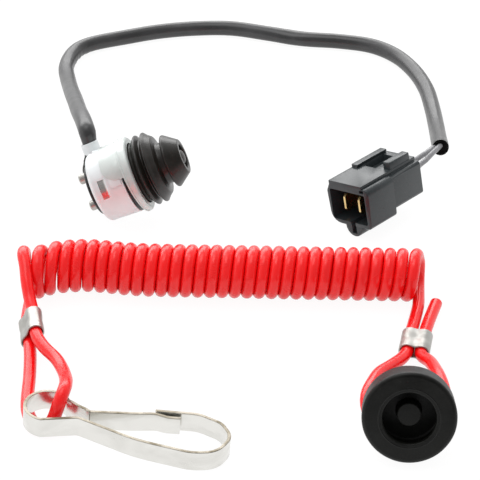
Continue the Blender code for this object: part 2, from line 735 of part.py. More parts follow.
def build_plunger(switch):
    """The sprung rod, and the bridge that it carries off the contacts when it is pushed in."""
    collar_top = GUIDE_HUB_BACK - GAP
    collar_back = BRIDGE_TOP + GAP
    tail_end = CLIP_TOP - CLIP_SHEET - PLUNGER_TAIL
    dome = []
    for step in range(PLUNGER_DOME_STEPS + 1):
        angle = math.pi / 2 * step / PLUNGER_DOME_STEPS
        dome.append((PLUNGER_RADIUS * math.sin(angle), PLUNGER_TIP - PLUNGER_DOME * (1 - math.cos(angle))))
    outline = (
        *dome,
        (PLUNGER_RADIUS, collar_top),
        (PLUNGER_COLLAR, collar_top),
        (PLUNGER_COLLAR, collar_back),
        (PLUNGER_TAIL_RADIUS, collar_back),
        (PLUNGER_TAIL_RADIUS, tail_end),
        (0.0, tail_end),
    )
    mesh = turned_mesh("plunger", outline, closed=False)
    spin(add_object("plunger", mesh, switch, surface=grey_nylon), SMALL_TURN_STEPS)

    low = (-BRIDGE_LENGTH / 2, -BRIDGE_WIDTH / 2, BRIDGE_TOP - BRIDGE_SHEET)
    high = (BRIDGE_LENGTH / 2, BRIDGE_WIDTH / 2, BRIDGE_TOP)
    bridge = add_object("contact_bridge", box_mesh("contact_bridge", low, high, EASE), switch, surface=brass)
    hole_radius = PLUNGER_TAIL_RADIUS + GAP
    hole = rod_mesh("bridge_hole", hole_radius, BRIDGE_TOP - REACH, BRIDGE_TOP + REACH)
    combine(bridge, add_tool("bridge_hole", hole, switch))

    clip = turned_mesh(
        "bridge_clip",
        (
            (CLIP_RADIUS, CLIP_TOP),
            (CLIP_RADIUS, CLIP_TOP - CLIP_SHEET),
            (hole_radius, CLIP_TOP - CLIP_SHEET),
            (hole_radius, CLIP_TOP),
        ),
    )
    spin(add_object("bridge_clip", clip, switch, surface=spring_steel), SMALL_TURN_STEPS)


def build_guide(switch):
    """The bush in the can's front that the plunger slides in."""
    spigot_radius = CAN_INNER - GAP
    bore = PLUNGER_RADIUS + GAP
    outline = (
        (BOOT_FOOT_RADIUS, GUIDE_FRONT),
        (BOOT_FOOT_RADIUS, GUIDE_BACK),
        (spigot_radius, GUIDE_BACK),
        (spigot_radius, GUIDE_BACK - GUIDE_SPIGOT),
        (GUIDE_HUB_RADIUS, GUIDE_BACK - GUIDE_SPIGOT),
        (GUIDE_HUB_RADIUS, GUIDE_HUB_BACK),
        (bore, GUIDE_HUB_BACK),
        (bore, GUIDE_FRONT),
    )
    spin(add_object("plunger_guide", turned_mesh("plunger_guide", outline), switch, surface=black_plastic))


def build_spring(switch):
    top = CLIP_TOP - CLIP_SHEET - GAP - SPRING_WIRE / 2
    bottom = BASE_FRONT - SPRING_SEAT_DEPTH + GAP + SPRING_WIRE / 2
    steps = SPRING_TURNS * SPRING_TURN_STEPS
    points = []
    for step in range(steps + 1):
        angle = math.tau * SPRING_TURNS * step / steps
        height = bottom + (top - bottom) * step / steps
        points.append(Vector((SPRING_RADIUS * math.cos(angle), SPRING_RADIUS * math.sin(angle), height)) * MM)
    curve = cord_curve("return_spring", points, SPRING_WIRE, CORD_RESOLUTION)
    add_object("return_spring", curve, switch, surface=spring_steel)


def build_boot(switch):
    """Bellows, neck and mushroom head in one rubber moulding, open through the middle for the plunger."""
    second_tip = BOOT_FIRST_TIP + BOOT_PLEAT
    valley = BOOT_FIRST_TIP + BOOT_PLEAT / 2
    inner_valley = BOOT_VALLEY - BOOT_WALL
    inner_tip = BOOT_TIP - BOOT_TIP_WALL
    foot_top = BOOT_BACK + BOOT_FOOT
    recess_floor = BOOT_HEAD_FRONT - BOOT_RECESS_DEPTH
    bore = PLUNGER_RADIUS + GAP
    ceiling = BOOT_NECK_START - BOOT_WALL
    round_centre = (BOOT_HEAD_RADIUS - BOOT_HEAD_ROUND, BOOT_HEAD_START + BOOT_HEAD_ROUND)
    head = (
        (BOOT_RECESS_RADIUS, BOOT_HEAD_FRONT - BOOT_EDGE),
        (BOOT_RECESS_RADIUS + BOOT_EDGE, BOOT_HEAD_FRONT),
        (BOOT_FACE_RADIUS, BOOT_HEAD_FRONT),
        (BOOT_FACE_RADIUS + BOOT_EDGE, BOOT_HEAD_FRONT - BOOT_EDGE),
        *arc(round_centre, BOOT_HEAD_ROUND, 0, -90, 3),
        (BOOT_NECK_RADIUS, BOOT_HEAD_START),
        (BOOT_NECK_RADIUS, BOOT_NECK_START + BOOT_EDGE),
        (BOOT_NECK_RADIUS + BOOT_FILLET, BOOT_NECK_START),
    )
    bellows = (
        (BOOT_VALLEY, BOOT_NECK_START - BOOT_EDGE),
        (BOOT_TIP - BOOT_FILLET, second_tip + BOOT_PLEAT / 2),
        (BOOT_TIP, second_tip + BOOT_CREASE),
        (BOOT_TIP, second_tip - BOOT_CREASE),
        (BOOT_VALLEY, valley + BOOT_CREASE),
        (BOOT_VALLEY, valley - BOOT_CREASE),
        (BOOT_TIP, BOOT_FIRST_TIP + BOOT_CREASE),
        (BOOT_TIP, BOOT_FIRST_TIP - BOOT_CREASE),
        (BOOT_VALLEY + BOOT_EDGE, BOOT_THROAT),
        (BOOT_VALLEY, foot_top),
        (BOOT_FOOT_RADIUS, foot_top),
        (BOOT_FOOT_RADIUS, BOOT_BACK),
    )
    inside = (
        (inner_valley, BOOT_BACK),
        (inner_valley, BOOT_THROAT),
        (inner_tip, BOOT_FIRST_TIP),
        (inner_valley, valley),
        (inner_tip, second_tip),
        (BOOT_NECK_RADIUS, ceiling),
        (bore, ceiling),
        (bore, recess_floor),
        (BOOT_RECESS_RADIUS, recess_floor),
    )
    mesh = turned_mesh("rubber_boot", (*head, *bellows, *inside))
    spin(add_object("rubber_boot", mesh, switch, surface=boot_rubber))


def fold_sheet(switch, collar, name, sheet, back, low, top, corner):
    """A rounded tongue of sheet that lies on the can, cut from a thin shell and joined to the collar."""
    outline = ((TAB_INNER + sheet, top), (TAB_INNER + sheet, back), (TAB_INNER, back), (TAB_INNER, top))
    shell = spin(add_tool(f"{name}_shell", turned_mesh(f"{name}_shell", outline), switch))
    corners = (
        ((low, top + REACH), 0.0),
        ((low, back), corner),
        ((TAB_HIGH, back), 0.0),
        ((TAB_HIGH, top + REACH), 0.0),
    )
    shape = prism_mesh(f"{name}_outline", filleted(corners, closed=True), CAN_RADIUS + REACH - TAB_FAR)
    combine(shell, add_tool(f"{name}_outline", shape, switch, (0.0, TAB_FAR, 0.0)), "INTERSECT")
    combine(collar, shell, "UNION")


def build_collar(switch):
    """A plated ring with a raised inner lip, a tab folded back over the can and a thinner leaf beside it."""
    skirt_back = COLLAR_FRONT - COLLAR_SKIRT
    outline = (
        (COLLAR_RADIUS - COLLAR_ROUND, COLLAR_FRONT),
        (COLLAR_RADIUS, COLLAR_FRONT - COLLAR_ROUND),
        (COLLAR_RADIUS, skirt_back),
        (COLLAR_RADIUS - COLLAR_SHEET, skirt_back),
        (COLLAR_RADIUS - COLLAR_SHEET, COLLAR_BACK),
        (COLLAR_BORE, COLLAR_BACK),
        (COLLAR_BORE, COLLAR_FRONT + COLLAR_LIP_RISE),
        (COLLAR_BORE + COLLAR_LIP, COLLAR_FRONT),
    )
    collar = spin(add_object("front_collar", turned_mesh("front_collar", outline), switch, surface=zinc_plate))
    root = skirt_back + TAB_ROOT
    fold_sheet(switch, collar, "tab", TAB_SHEET, TAB_BACK, TAB_LOW, root, TAB_CORNER)
    fold_sheet(switch, collar, "leaf", LEAF_SHEET, LEAF_BACK, LEAF_LOW, LEAF_FRONT, LEAF_CORNER)


def build_clamp(switch):
    """A band round the sleeve, on a foot that lies along the can."""
    place = round_can(*CLAMP_SEAT)
    inner = SLEEVE_DIAMETER / 2 + GAP
    outer = inner + CLAMP_SHEET
    half = CLAMP_WIDTH / 2
    band = turned_mesh("cable_clamp", ((outer, half), (outer, -half), (inner, -half), (inner, half)))
    clamp = spin(add_object("cable_clamp", band, switch, place, nickel))
    turn_to(clamp, CLAMP_ALONG, Vector((0.0, 0.0, 1.0)))
    foot_inner = CAN_RADIUS + GAP
    foot = box_mesh(
        "clamp_foot",
        (foot_inner, -CLAMP_FOOT_WIDTH / 2, place.z - CLAMP_FOOT_BACK),
        (foot_inner + CLAMP_FOOT_SHEET, CLAMP_FOOT_WIDTH / 2, place.z + CLAMP_FOOT_LENGTH),
    )
    foot = add_tool("clamp_foot", foot, switch)
    foot.rotation_euler.z = math.radians(CLAMP_ANGLE)
    combine(clamp, foot, "UNION")


def build_lead(switch):
    """The sleeve, open at its cut end, and the rubber grommet that takes it into the can."""
    clamp = round_can(*CLAMP_SEAT)
    start = in_frame(switch, [clamp + Vector(offset) for offset in SLEEVE_START])
    route = smooth_route([*start, *on_table(SLEEVE_ROUTE)], SLEEVE_DIAMETER * MM)
    mesh = cord_mesh("sleeve", route, SLEEVE_DIAMETER, TUBE_RESOLUTION)
    sleeve = add_object("sleeve", mesh, surface=grey_vinyl)
    inside = round(SLEEVE_POCKET / SLEEVE_DIAMETER)
    beyond = route[-1] * 2 - route[-2]
    pocket = cord_mesh("sleeve_pocket", [*route[-1 - inside :], beyond], SLEEVE_BORE, TUBE_RESOLUTION)
    combine(sleeve, add_tool("sleeve_pocket", pocket))

    places = [clamp + Vector(GROMMET_START), *(round_can(*seat) for seat in GROMMET_ROUTE)]
    points = smooth_route([place * MM for place in places], GROMMET_PITCH * MM)
    grommet = cord_curve("cable_grommet", points, GROMMET_DIAMETER, TUBE_RESOLUTION, GROMMET_NECK / 2)
    add_object("cable_grommet", grommet, switch, surface=black_rubber)


def build_latch(frame, housing):
    """The top plate with its guide rail, latch block, window and undercut edge."""
    plate = box_mesh("top_plate", (0.0, 0.0, -PLATE_SHEET), (PLATE_WIDTH, CONNECTOR_LENGTH, 0.0), EASE)
    combine(housing, add_tool("top_plate", plate, frame), "UNION")
    lip = RAIL_WIDTH + RAIL_LIP
    outline = (
        (OVERLAP, -RAIL_SEAT),
        (OVERLAP, RAIL_HEIGHT),
        (lip, RAIL_HEIGHT),
        (lip, RAIL_SEAT),
        (RAIL_WIDTH, -RAIL_SEAT),
    )
    rail = prism_mesh("left_rail", outline, CONNECTOR_LENGTH - RAIL_START - RAIL_END)
    combine(housing, add_tool("left_rail", rail, frame, (0.0, RAIL_START, 0.0)), "UNION")
    block = box_mesh(
        "right_block",
        (PLATE_WIDTH - BLOCK_WIDTH, BLOCK_START, -PLATE_SHEET / 2),
        (PLATE_WIDTH - BLOCK_INSET, BLOCK_END, BLOCK_HEIGHT),
        BLOCK_EDGE,
    )
    combine(housing, add_tool("right_block", block, frame), "UNION")
    window = box_mesh("window", (WINDOW_LEFT, WINDOW_START, -WINDOW_DEPTH), (WINDOW_RIGHT, WINDOW_END, REACH))
    combine(housing, add_tool("window", window, frame))
    groove = box_mesh(
        "plate_groove",
        (PLATE_WIDTH - GROOVE_WIDTH, -REACH, -PLATE_SHEET - GROOVE_WIDTH),
        (PLATE_WIDTH + GROOVE_WIDTH, CONNECTOR_LENGTH + REACH, -PLATE_SHEET + EASE),
    )
    combine(housing, add_tool("plate_groove", groove, frame))


def build_housing(frame):
    """The shroud with its deep mouth and key rib, and the narrower body behind it."""
    corners = (
        (SHROUD_LEFT, SHROUD_TOP - SHROUD_SHOULDER),
        (SHROUD_LEFT + SHROUD_STEP, SHROUD_TOP),
        (SHROUD_RIGHT + SHROUD_FLARE, SHROUD_TOP),
        (SHROUD_RIGHT - SHROUD_FLARE, SHROUD_BOTTOM),
        (SHROUD_LEFT + SHROUD_DRAFT, SHROUD_BOTTOM),
    )
    outline = filleted(tuple(zip(corners, SHROUD_FILLETS)), closed=True)[::-1]
    mesh = prism_mesh("connector_housing", outline, SHROUD_LENGTH, SHROUD_EDGE)
    housing = add_object("connector_housing", mesh, frame, surface=grey_plastic)

    rear_top = SHROUD_TOP - REAR_STEP
    corners = (
        (REAR_LEFT, rear_top),
        (REAR_RIGHT, rear_top),
        (REAR_RIGHT, REAR_BOTTOM),
        (REAR_LEFT, REAR_BOTTOM),
    )
    outline = filleted(tuple(zip(corners, REAR_FILLETS)), closed=True)[::-1]
    rear = prism_mesh("rear_body", outline, CONNECTOR_LENGTH - CAVITY_DEPTH)
    combine(housing, add_tool("rear_body", rear, frame, (0.0, CAVITY_DEPTH, 0.0)), "UNION")
    key = rod_mesh("key_rib", KEY_RADIUS, KEY_FRONT, SHROUD_LENGTH - KEY_FRONT, "Y")
    combine(housing, add_tool("key_rib", key, frame, (KEY_PLACE, 0.0, SHROUD_BOTTOM - OVERLAP)), "UNION")
    build_latch(frame, housing)

    cavity = box_mesh(
        "cavity",
        (SHROUD_LEFT + SHROUD_WALL, -REACH, SHROUD_BOTTOM + SHROUD_WALL),
        (SHROUD_RIGHT - SHROUD_WALL, CAVITY_DEPTH, CAVITY_TOP),
        CAVITY_EDGE,
    )
    combine(housing, add_tool("cavity", cavity, frame))
    slot = box_mesh(
        "key_slot",
        (KEY_PLACE - KEY_SLOT / 2, -REACH, SHROUD_BOTTOM - KEY_RADIUS + KEY_FLOOR),
        (KEY_PLACE + KEY_SLOT / 2, CAVITY_DEPTH - KEY_FLOOR, SHROUD_BOTTOM + SHROUD_WALL + EASE),
    )
    combine(housing, add_tool("key_slot", slot, frame))
    for name, across in zip("ab", BLADE_PLACES):
        bore = rod_mesh(f"wire_bore_{name}", BORE_RADIUS, BARREL_START - GAP, CONNECTOR_LENGTH + REACH, "Y")
        combine(housing, add_tool(f"wire_bore_{name}", bore, frame, (across, 0.0, BLADE_MIDDLE)))
        half_sheet = BLADE_SHEET / 2 + GAP
        half_height = BLADE_HEIGHT / 2 + GAP
        slit = box_mesh(
            f"blade_slit_{name}",
            (across - half_sheet, CAVITY_DEPTH - REACH, BLADE_MIDDLE - half_height),
            (across + half_sheet, BARREL_START + GAP, BLADE_MIDDLE + half_height),
        )
        combine(housing, add_tool(f"blade_slit_{name}", slit, frame))


def build_blades(frame):
    """Flat blades in the mouth, each with a round barrel that grips its wire."""
    back = BARREL_START - OVERLAP
    low = BLADE_MIDDLE - BLADE_HEIGHT / 2
    high = BLADE_MIDDLE + BLADE_HEIGHT / 2
    shape = (
        (BLADE_TIP, low + BLADE_CHAMFER),
        (BLADE_TIP + BLADE_CHAMFER, low),
        (back, low),
        (back, high),
        (BLADE_TIP + BLADE_CHAMFER, high),
        (BLADE_TIP, high - BLADE_CHAMFER),
    )
    for side, across in zip("ab", BLADE_PLACES):
        name = f"blade_terminal_{side}"
        mesh = prism_mesh(name, shape, BLADE_SHEET)
        mesh.transform(Matrix.Rotation(math.radians(90), 4, "Z"))
        blade = add_object(name, mesh, frame, (across + BLADE_SHEET / 2, 0.0, 0.0), brass)
        tube = rod_mesh(f"{name}_barrel", BARREL_RADIUS, BARREL_START, BARREL_END, "Y")
        barrel = add_tool(f"{name}_barrel", tube, frame, (across, 0.0, BLADE_MIDDLE))
        bar = box_mesh(
            f"{name}_bar",
            (across - BLADE_SHEET / 2 + OVERLAP, back - BAR_REACH, BLADE_MIDDLE - BAR_HEIGHT / 2),
            (across + BLADE_SHEET / 2 - OVERLAP, BARREL_START + BAR_REACH, BLADE_MIDDLE + BAR_HEIGHT / 2),
        )
        combine(blade, add_tool(f"{name}_bar", bar, frame), "UNION")
        combine(blade, barrel, "UNION")


def build_wires(frame):
    """The two wires between the housing's rear and the sleeve's cut end."""
    for side, across, points in zip("ab", BLADE_PLACES, (WIRE_ROUTE_A, WIRE_ROUTE_B)):
        depths = (BARREL_END + GAP, CONNECTOR_LENGTH + WIRE_TAIL)
        inside = in_frame(frame, [(across, depth, BLADE_MIDDLE) for depth in depths])
        route = smooth_route([*inside, *on_table(points)], WIRE_PITCH * MM)
        curve = cord_curve(f"wire_{side}", route, WIRE_DIAMETER, CORD_RESOLUTION)
        add_object(f"wire_{side}", curve, surface=grey_vinyl)


def build_cords():
    ends = [(x, y, COIL_HEIGHT) for x, y in COIL_ENDS]
    route = smooth_route(on_table(ends), COIL_DIAMETER * MM)
    coil = cord_curve("lanyard_coil", route, COIL_DIAMETER, COIL_RESOLUTION)
    add_object("lanyard_coil", coil, surface=red_vinyl)
    for name, points in (("hook_lead", HOOK_LEAD_ROUTE), ("cap_lead", CAP_LEAD_ROUTE)):
        route = smooth_route(on_table(points), CORD_PITCH * MM)
        add_object(name, cord_curve(name, route, CORD_DIAMETER, CORD_RESOLUTION), surface=red_vinyl)


def build_crimp(name, place, along, across):
    """An oval ferrule pressed round two strands of cord."""
    inner = CORD_DIAMETER / 2 + GAP
    half = across.length / 2
    shape = [*arc((half, 0.0), inner, -90, 90, 8), *arc((-half, 0.0), inner, 90, 270, 8)]
    mesh = prism_mesh(name, shape, CRIMP_LENGTH)
    work = bmesh.new()
    work.from_mesh(mesh)
    caps = [face for face in work.faces if len(face.verts) > 4]
    bmesh.ops.delete(work, geom=caps, context="FACES_ONLY")
    bmesh.ops.translate(work, vec=(0.0, -CRIMP_LENGTH / 2 * MM, 0.0), verts=work.verts)
    work.to_mesh(mesh)
    work.free()
    crimp = add_object(name, mesh, None, place + LAYOUT_SHIFT, nickel)
    y_axis = along.normalized()
    x_axis = (across - y_axis * across.dot(y_axis)).normalized()
    crimp.rotation_euler = Matrix((x_axis, y_axis, x_axis.cross(y_axis))).transposed().to_euler()
    solid = crimp.modifiers.new("sheet", "SOLIDIFY")
    solid.thickness = CRIMP_SHEET * MM
    solid.offset = 1.0


def build_cap(frame):
    """A rubber cap with a lipped mouth, a central boss and a groove behind for the cord."""
    rear_radius = CAP_RADIUS - CAP_TAPER
    mouth = (
        (0.0, -CAP_BOSS_FRONT),
        (CAP_BOSS_RADIUS - CAP_EDGE, -CAP_BOSS_FRONT),
        (CAP_BOSS_RADIUS, -CAP_BOSS_FRONT - CAP_EDGE),
        (CAP_BOSS_RADIUS, -CAP_CHAMBER_DEPTH),
        (CAP_CHAMBER_RADIUS - CAP_CHAMBER_ROUND, -CAP_CHAMBER_DEPTH),
        (CAP_CHAMBER_RADIUS, -CAP_CHAMBER_DEPTH + CAP_CHAMBER_ROUND),
        (CAP_CHAMBER_RADIUS, -CAP_LIP - CAP_LIP_SLOPE),
        (CAP_MOUTH_RADIUS, -CAP_LIP),
        (CAP_MOUTH_RADIUS, -CAP_MOUTH_EDGE),
        (CAP_MOUTH_RADIUS + CAP_MOUTH_EDGE, 0.0),
    )
    outside = (
        *arc((CAP_RADIUS - CAP_RIM_EDGE, -CAP_RIM_EDGE), CAP_RIM_EDGE, 90, 0, 3),
        (rear_radius, -CAP_SIDE),
        (rear_radius - CAP_RIM_EDGE, -CAP_SIDE - CAP_RIM_EDGE),
        (CAP_NECK_RADIUS + CAP_NECK_FLARE, -CAP_NECK_START + CAP_KNOB_EDGE),
        (CAP_NECK_RADIUS, -CAP_NECK_START),
        (CAP_NECK_RADIUS, -CAP_NECK_END),
        (CAP_KNOB_RADIUS - CAP_KNOB_EDGE, -CAP_NECK_END - CAP_EDGE),
        (CAP_KNOB_RADIUS, -CAP_NECK_END - CAP_EDGE - CAP_KNOB_EDGE),
        (CAP_KNOB_RADIUS, -CAP_DEPTH + CAP_KNOB_EDGE),
        (CAP_KNOB_RADIUS - CAP_KNOB_EDGE, -CAP_DEPTH),
        (0.0, -CAP_DEPTH),
    )
    mesh = turned_mesh("cap", (*mouth, *outside), closed=False)
    spin(add_object("cap", mesh, frame, surface=black_rubber))


def build_hook(frame):
    """The ring, arm and nose bent from one strip, with the sprung tongue on its own hinge line."""
    ring = [Vector(point) for point in arc(RING_PLACE, RING_RADIUS, *RING_SWEEP, 18)]
    arm = filleted(((ring[-1], 0.0), *HOOK_ARM))
    path = [*(Vector(point) for point in HOOK_NECK), *ring, *arm[1:]]
    hook = add_object("hook_frame", strip_mesh("hook_frame", path, HOOK_HEIGHT), frame, surface=bright_steel)
    thicken(hook, HOOK_SHEET, EASE)

    mesh = strip_mesh("hook_gate", filleted(GATE_PATH), HOOK_HEIGHT)
    tip = GATE_PATH[-1][0][0] * MM
    trim = (HOOK_HEIGHT - GATE_TIP_HEIGHT) / 2 * MM
    for vertex in mesh.vertices:
        share = vertex.co.x / tip
        vertex.co.z += share * (trim if vertex.co.z < HOOK_HEIGHT / 2 * MM else -trim)
    gate = add_object("hook_gate", mesh, frame, surface=bright_steel)
    thicken(gate, HOOK_SHEET, EASE)


clear_scene()
parts = new_collection("emergency_stop_switch")
cutters = new_collection("cutters")

steel_plate = material("bright_steel_can", (0.82, 0.82, 0.83), 0.28, 1.0)
zinc_plate = material("clear_zinc_plate", (0.72, 0.78, 0.74), 0.3, 1.0)
nickel = material("nickel_plate", (0.78, 0.77, 0.73), 0.25, 1.0)
bright_steel = material("polished_spring_steel", (0.75, 0.74, 0.7), 0.2, 1.0)
spring_steel = material("spring_steel", (0.5, 0.5, 0.5), 0.35, 1.0)
brass = material("brass", (0.72, 0.5, 0.2), 0.3, 1.0)
black_plastic = material("black_plastic", (0.02, 0.02, 0.02), 0.5)
grey_plastic = material("grey_nylon_housing", (0.07, 0.085, 0.09), 0.45)
grey_nylon = material("grey_nylon", (0.1, 0.1, 0.1), 0.35)
boot_rubber = material("dark_boot_rubber", (0.05, 0.042, 0.036), 0.6)
black_rubber = material("black_rubber", (0.015, 0.015, 0.013), 0.55)
grey_vinyl = material("grey_vinyl", (0.17, 0.17, 0.18), 0.45)
red_vinyl = material("red_vinyl", (0.85, 0.02, 0.02), 0.3)

switch_frame = add_frame("switch_axis", SWITCH_PLACE, SWITCH_OUT, SWITCH_UP)
connector_frame = add_frame("connector_frame", CONNECTOR_PLACE, CONNECTOR_UP, CONNECTOR_ACROSS)
cap_tilt = math.radians(CAP_ELEVATION)
cap_yaw = math.radians(CAP_YAW)
cap_flat = Vector((math.sin(cap_yaw), -math.cos(cap_yaw), 0.0))
cap_out = cap_flat * math.cos(cap_tilt) + Vector((0.0, 0.0, math.sin(cap_tilt)))
cap_frame = add_frame("cap_axis", CAP_PLACE, cap_out, Vector((1.0, 0.0, 0.0)))
hook_tilt = math.radians(HOOK_TILT)
hook_out = Vector((math.sin(hook_tilt), 0.0, math.cos(hook_tilt)))
hook_axis = add_frame("hook_hinge_axis", HOOK_PLACE, hook_out, Vector((1.0, 0.0, 0.0)))

build_can(switch_frame)
build_base(switch_frame)
build_terminals(switch_frame)
build_plunger(switch_frame)
build_guide(switch_frame)
build_spring(switch_frame)
build_boot(switch_frame)
build_collar(switch_frame)
build_clamp(switch_frame)
build_lead(switch_frame)
build_housing(connector_frame)
build_blades(connector_frame)
build_wires(connector_frame)
build_cords()
build_crimp("crimp_hook", CRIMP_HOOK_PLACE, CRIMP_HOOK_ALONG, CRIMP_HOOK_ACROSS)
build_crimp("crimp_cap", CRIMP_CAP_PLACE, CRIMP_CAP_ALONG, CRIMP_CAP_ACROSS)
build_cap(cap_frame)
build_hook(hook_axis)
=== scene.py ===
# %% [markdown]
# # Emergency stop switch for a motorbike
# The object lies on a white table: a plunger switch with its sleeved lead and plug, and the rubber cap on a
# red curly cord with a spring hook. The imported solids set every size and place. This notebook dresses them:
# each step first says what the real piece is and how it is made, then makes it and prints what came out.

# %% Load the frame
import math

import bmesh
import bpy
from mathutils import Matrix, Vector, noise


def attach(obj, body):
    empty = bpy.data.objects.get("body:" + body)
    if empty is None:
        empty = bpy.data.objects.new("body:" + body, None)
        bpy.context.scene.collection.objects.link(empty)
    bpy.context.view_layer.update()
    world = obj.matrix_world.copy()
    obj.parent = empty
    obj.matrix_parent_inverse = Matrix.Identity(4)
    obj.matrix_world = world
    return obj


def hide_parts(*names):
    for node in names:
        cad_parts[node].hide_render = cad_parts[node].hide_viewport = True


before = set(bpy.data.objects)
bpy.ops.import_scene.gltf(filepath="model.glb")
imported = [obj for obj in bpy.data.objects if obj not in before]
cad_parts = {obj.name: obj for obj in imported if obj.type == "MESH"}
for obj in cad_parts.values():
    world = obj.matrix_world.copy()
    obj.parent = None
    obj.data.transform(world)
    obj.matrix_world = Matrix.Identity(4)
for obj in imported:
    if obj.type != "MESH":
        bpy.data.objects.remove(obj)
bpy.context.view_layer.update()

MM = 0.001
SHIFT = Vector((0.74, 39.65, 0.0))

# %% [markdown]
# ## Camera
# The photograph looks down on the table at 34 degrees from about half a metre, with a long lens, so the coil
# keeps nearly one scale from end to end. The eye is set straight in front of the middle of the layout.

# %% Camera
def new_object(name, data):
    made = bpy.data.objects.new(name, data)
    bpy.context.scene.collection.objects.link(made)
    return made


EYE = Vector((0.0, -472.5, 318.7))
camera_data = bpy.data.cameras.new("camera")
camera_data.sensor_fit = "HORIZONTAL"
camera_data.sensor_width = 36.0
camera_data.lens = 126.75
camera = new_object("camera", camera_data)
camera.location = (EYE + SHIFT) * MM
camera.rotation_euler = (-EYE).to_track_quat("-Z", "Y").to_euler()
bpy.context.scene.camera = camera
bpy.context.scene.view_settings.view_transform = "Standard"
print("camera at", [round(v, 4) for v in camera.location])

# %% [markdown]
# ## Light and table
# A high-key product shot. One broad soft box stands low behind the object, so every top shows its long pale
# gloss, and the room is white except for a soft dark patch beside the camera, which keeps the middle of each
# rubber tube dark. Table and room show white to the camera and to mirror rays, and the table keeps a faint
# shadow.

# %% Light and table
def new_light(name, place, aim, size, power):
    data = bpy.data.lights.new(name, "AREA")
    data.shape = "RECTANGLE"
    data.size, data.size_y = size
    data.energy = power
    lamp = new_object(name, data)
    lamp.location = place
    lamp.rotation_euler = (Vector(aim) - Vector(place)).to_track_quat("-Z", "Y").to_euler()
    lamp.visible_camera = False


# name, place, the point it faces and size in metres, then watts
new_light("back_box", (-0.3, 1.05, 0.62), (0.0, 0.05, 0.0), (1.7, 0.72), 12.0)
new_light("overhead", (-0.2, 0.1, 1.1), (0.0, 0.04, 0.0), (0.7, 0.7), 3.0)


def seen_by(tree, *labels):
    """1 for the named kinds of ray, 0 for the rest."""
    path = tree.nodes.new("ShaderNodeLightPath")
    total = path.outputs[labels[0]]
    for label in labels[1:]:
        node = tree.nodes.new("ShaderNodeMath")
        node.operation = "MAXIMUM"
        tree.links.new(total, node.inputs[0])
        tree.links.new(path.outputs[label], node.inputs[1])
        total = node.outputs[0]
    return total


def mixed(tree, share, first, second):
    """The first shader where share is 0, the second where it is 1."""
    mix = tree.nodes.new("ShaderNodeMixShader")
    for socket, output in zip(mix.inputs, (share, first, second)):
        tree.links.new(output, socket)
    return mix.outputs[0]


def set_inputs(node, **values):
    """Sets a node's inputs, each by its label with underscores for the spaces."""
    for label, value in values.items():
        node.inputs[label.replace("_", " ")].default_value = value


def background(tree, strength):
    node = tree.nodes.new("ShaderNodeBackground")
    set_inputs(node, Strength=strength, Color=(1.0, 1.0, 1.0, 1.0))
    return node


# The dark patch of the room: its middle lies a little right of the eye, and it fades out between two angles.
DARK_MIDDLE = (EYE + Vector((200.0, 0.0, 0.0))).normalized()
DARK_SIDE, DARK_EDGE = math.cos(math.radians(22.0)), math.cos(math.radians(95.0))
DARKEST = 0.12
ROOM_STRENGTH = 0.8
world = bpy.data.worlds.new("studio")
world.use_nodes = True
bpy.context.scene.world = world
tree = world.node_tree
tree.nodes.clear()
where = tree.nodes.new("ShaderNodeTexCoord")
facing = tree.nodes.new("ShaderNodeVectorMath")
facing.operation = "DOT_PRODUCT"
facing.inputs[1].default_value = DARK_MIDDLE
tree.links.new(where.outputs["Generated"], facing.inputs[0])
fade = tree.nodes.new("ShaderNodeMapRange")
fade.interpolation_type = "SMOOTHSTEP"
set_inputs(fade, From_Min=DARK_EDGE, From_Max=DARK_SIDE, To_Min=1.0, To_Max=DARKEST)
tree.links.new(facing.outputs["Value"], fade.inputs["Value"])
mirrored = background(tree, 1.0)
tree.links.new(fade.outputs["Result"], mirrored.inputs["Color"])
plain = background(tree, ROOM_STRENGTH)
room = mixed(tree, seen_by(tree, "Is Glossy Ray", "Is Transmission Ray"), plain.outputs[0], mirrored.outputs[0])
sky = mixed(tree, seen_by(tree, "Is Camera Ray"), room, background(tree, 1.0).outputs[0])
tree.links.new(sky, tree.nodes.new("ShaderNodeOutputWorld").inputs[0])

TABLE_HALF, TABLE_MIDDLE = 1.6, (0.0, 0.2, -0.0001)
floor_mesh = bpy.data.meshes.new("table")
work = bmesh.new()
bmesh.ops.create_grid(work, x_segments=1, y_segments=1, size=TABLE_HALF)
bmesh.ops.translate(work, verts=work.verts, vec=TABLE_MIDDLE)
work.to_mesh(floor_mesh)
work.free()
table = new_object("table", floor_mesh)
paper = bpy.data.materials.new("white_table")
paper.use_nodes = True
tree = paper.node_tree
shader = tree.nodes["Principled BSDF"]
set_inputs(shader, Base_Color=(0.86, 0.86, 0.86, 1.0), Roughness=0.6)
# What the camera and mirror rays see: a white glow, and a little of it left to the light for the shadow
GLOW, SHADOWED = 0.94, 0.1
glow = tree.nodes.new("ShaderNodeEmission")
set_inputs(glow, Color=(GLOW, GLOW, GLOW, 1.0))
shade = tree.nodes.new("ShaderNodeBsdfDiffuse")
set_inputs(shade, Color=(SHADOWED, SHADOWED, SHADOWED, 1.0))
lit = tree.nodes.new("ShaderNodeAddShader")
tree.links.new(glow.outputs[0], lit.inputs[0])
tree.links.new(shade.outputs[0], lit.inputs[1])
shown = seen_by(tree, "Is Camera Ray", "Is Glossy Ray", "Is Transmission Ray")
surface = mixed(tree, shown, shader.outputs[0], lit.outputs[0])
tree.links.new(surface, tree.nodes["Material Output"].inputs[0])
floor_mesh.materials.append(paper)
print("lights and table are up")

# %% [markdown]
# ## Finishes
# Plating, rubber and vinyl differ by their grain and their wear more than by their colour. Two small node
# groups are shared: one gives fine grain as a normal, one gives slow blotches as a mask. Each finish mixes
# its colour and its roughness by them.

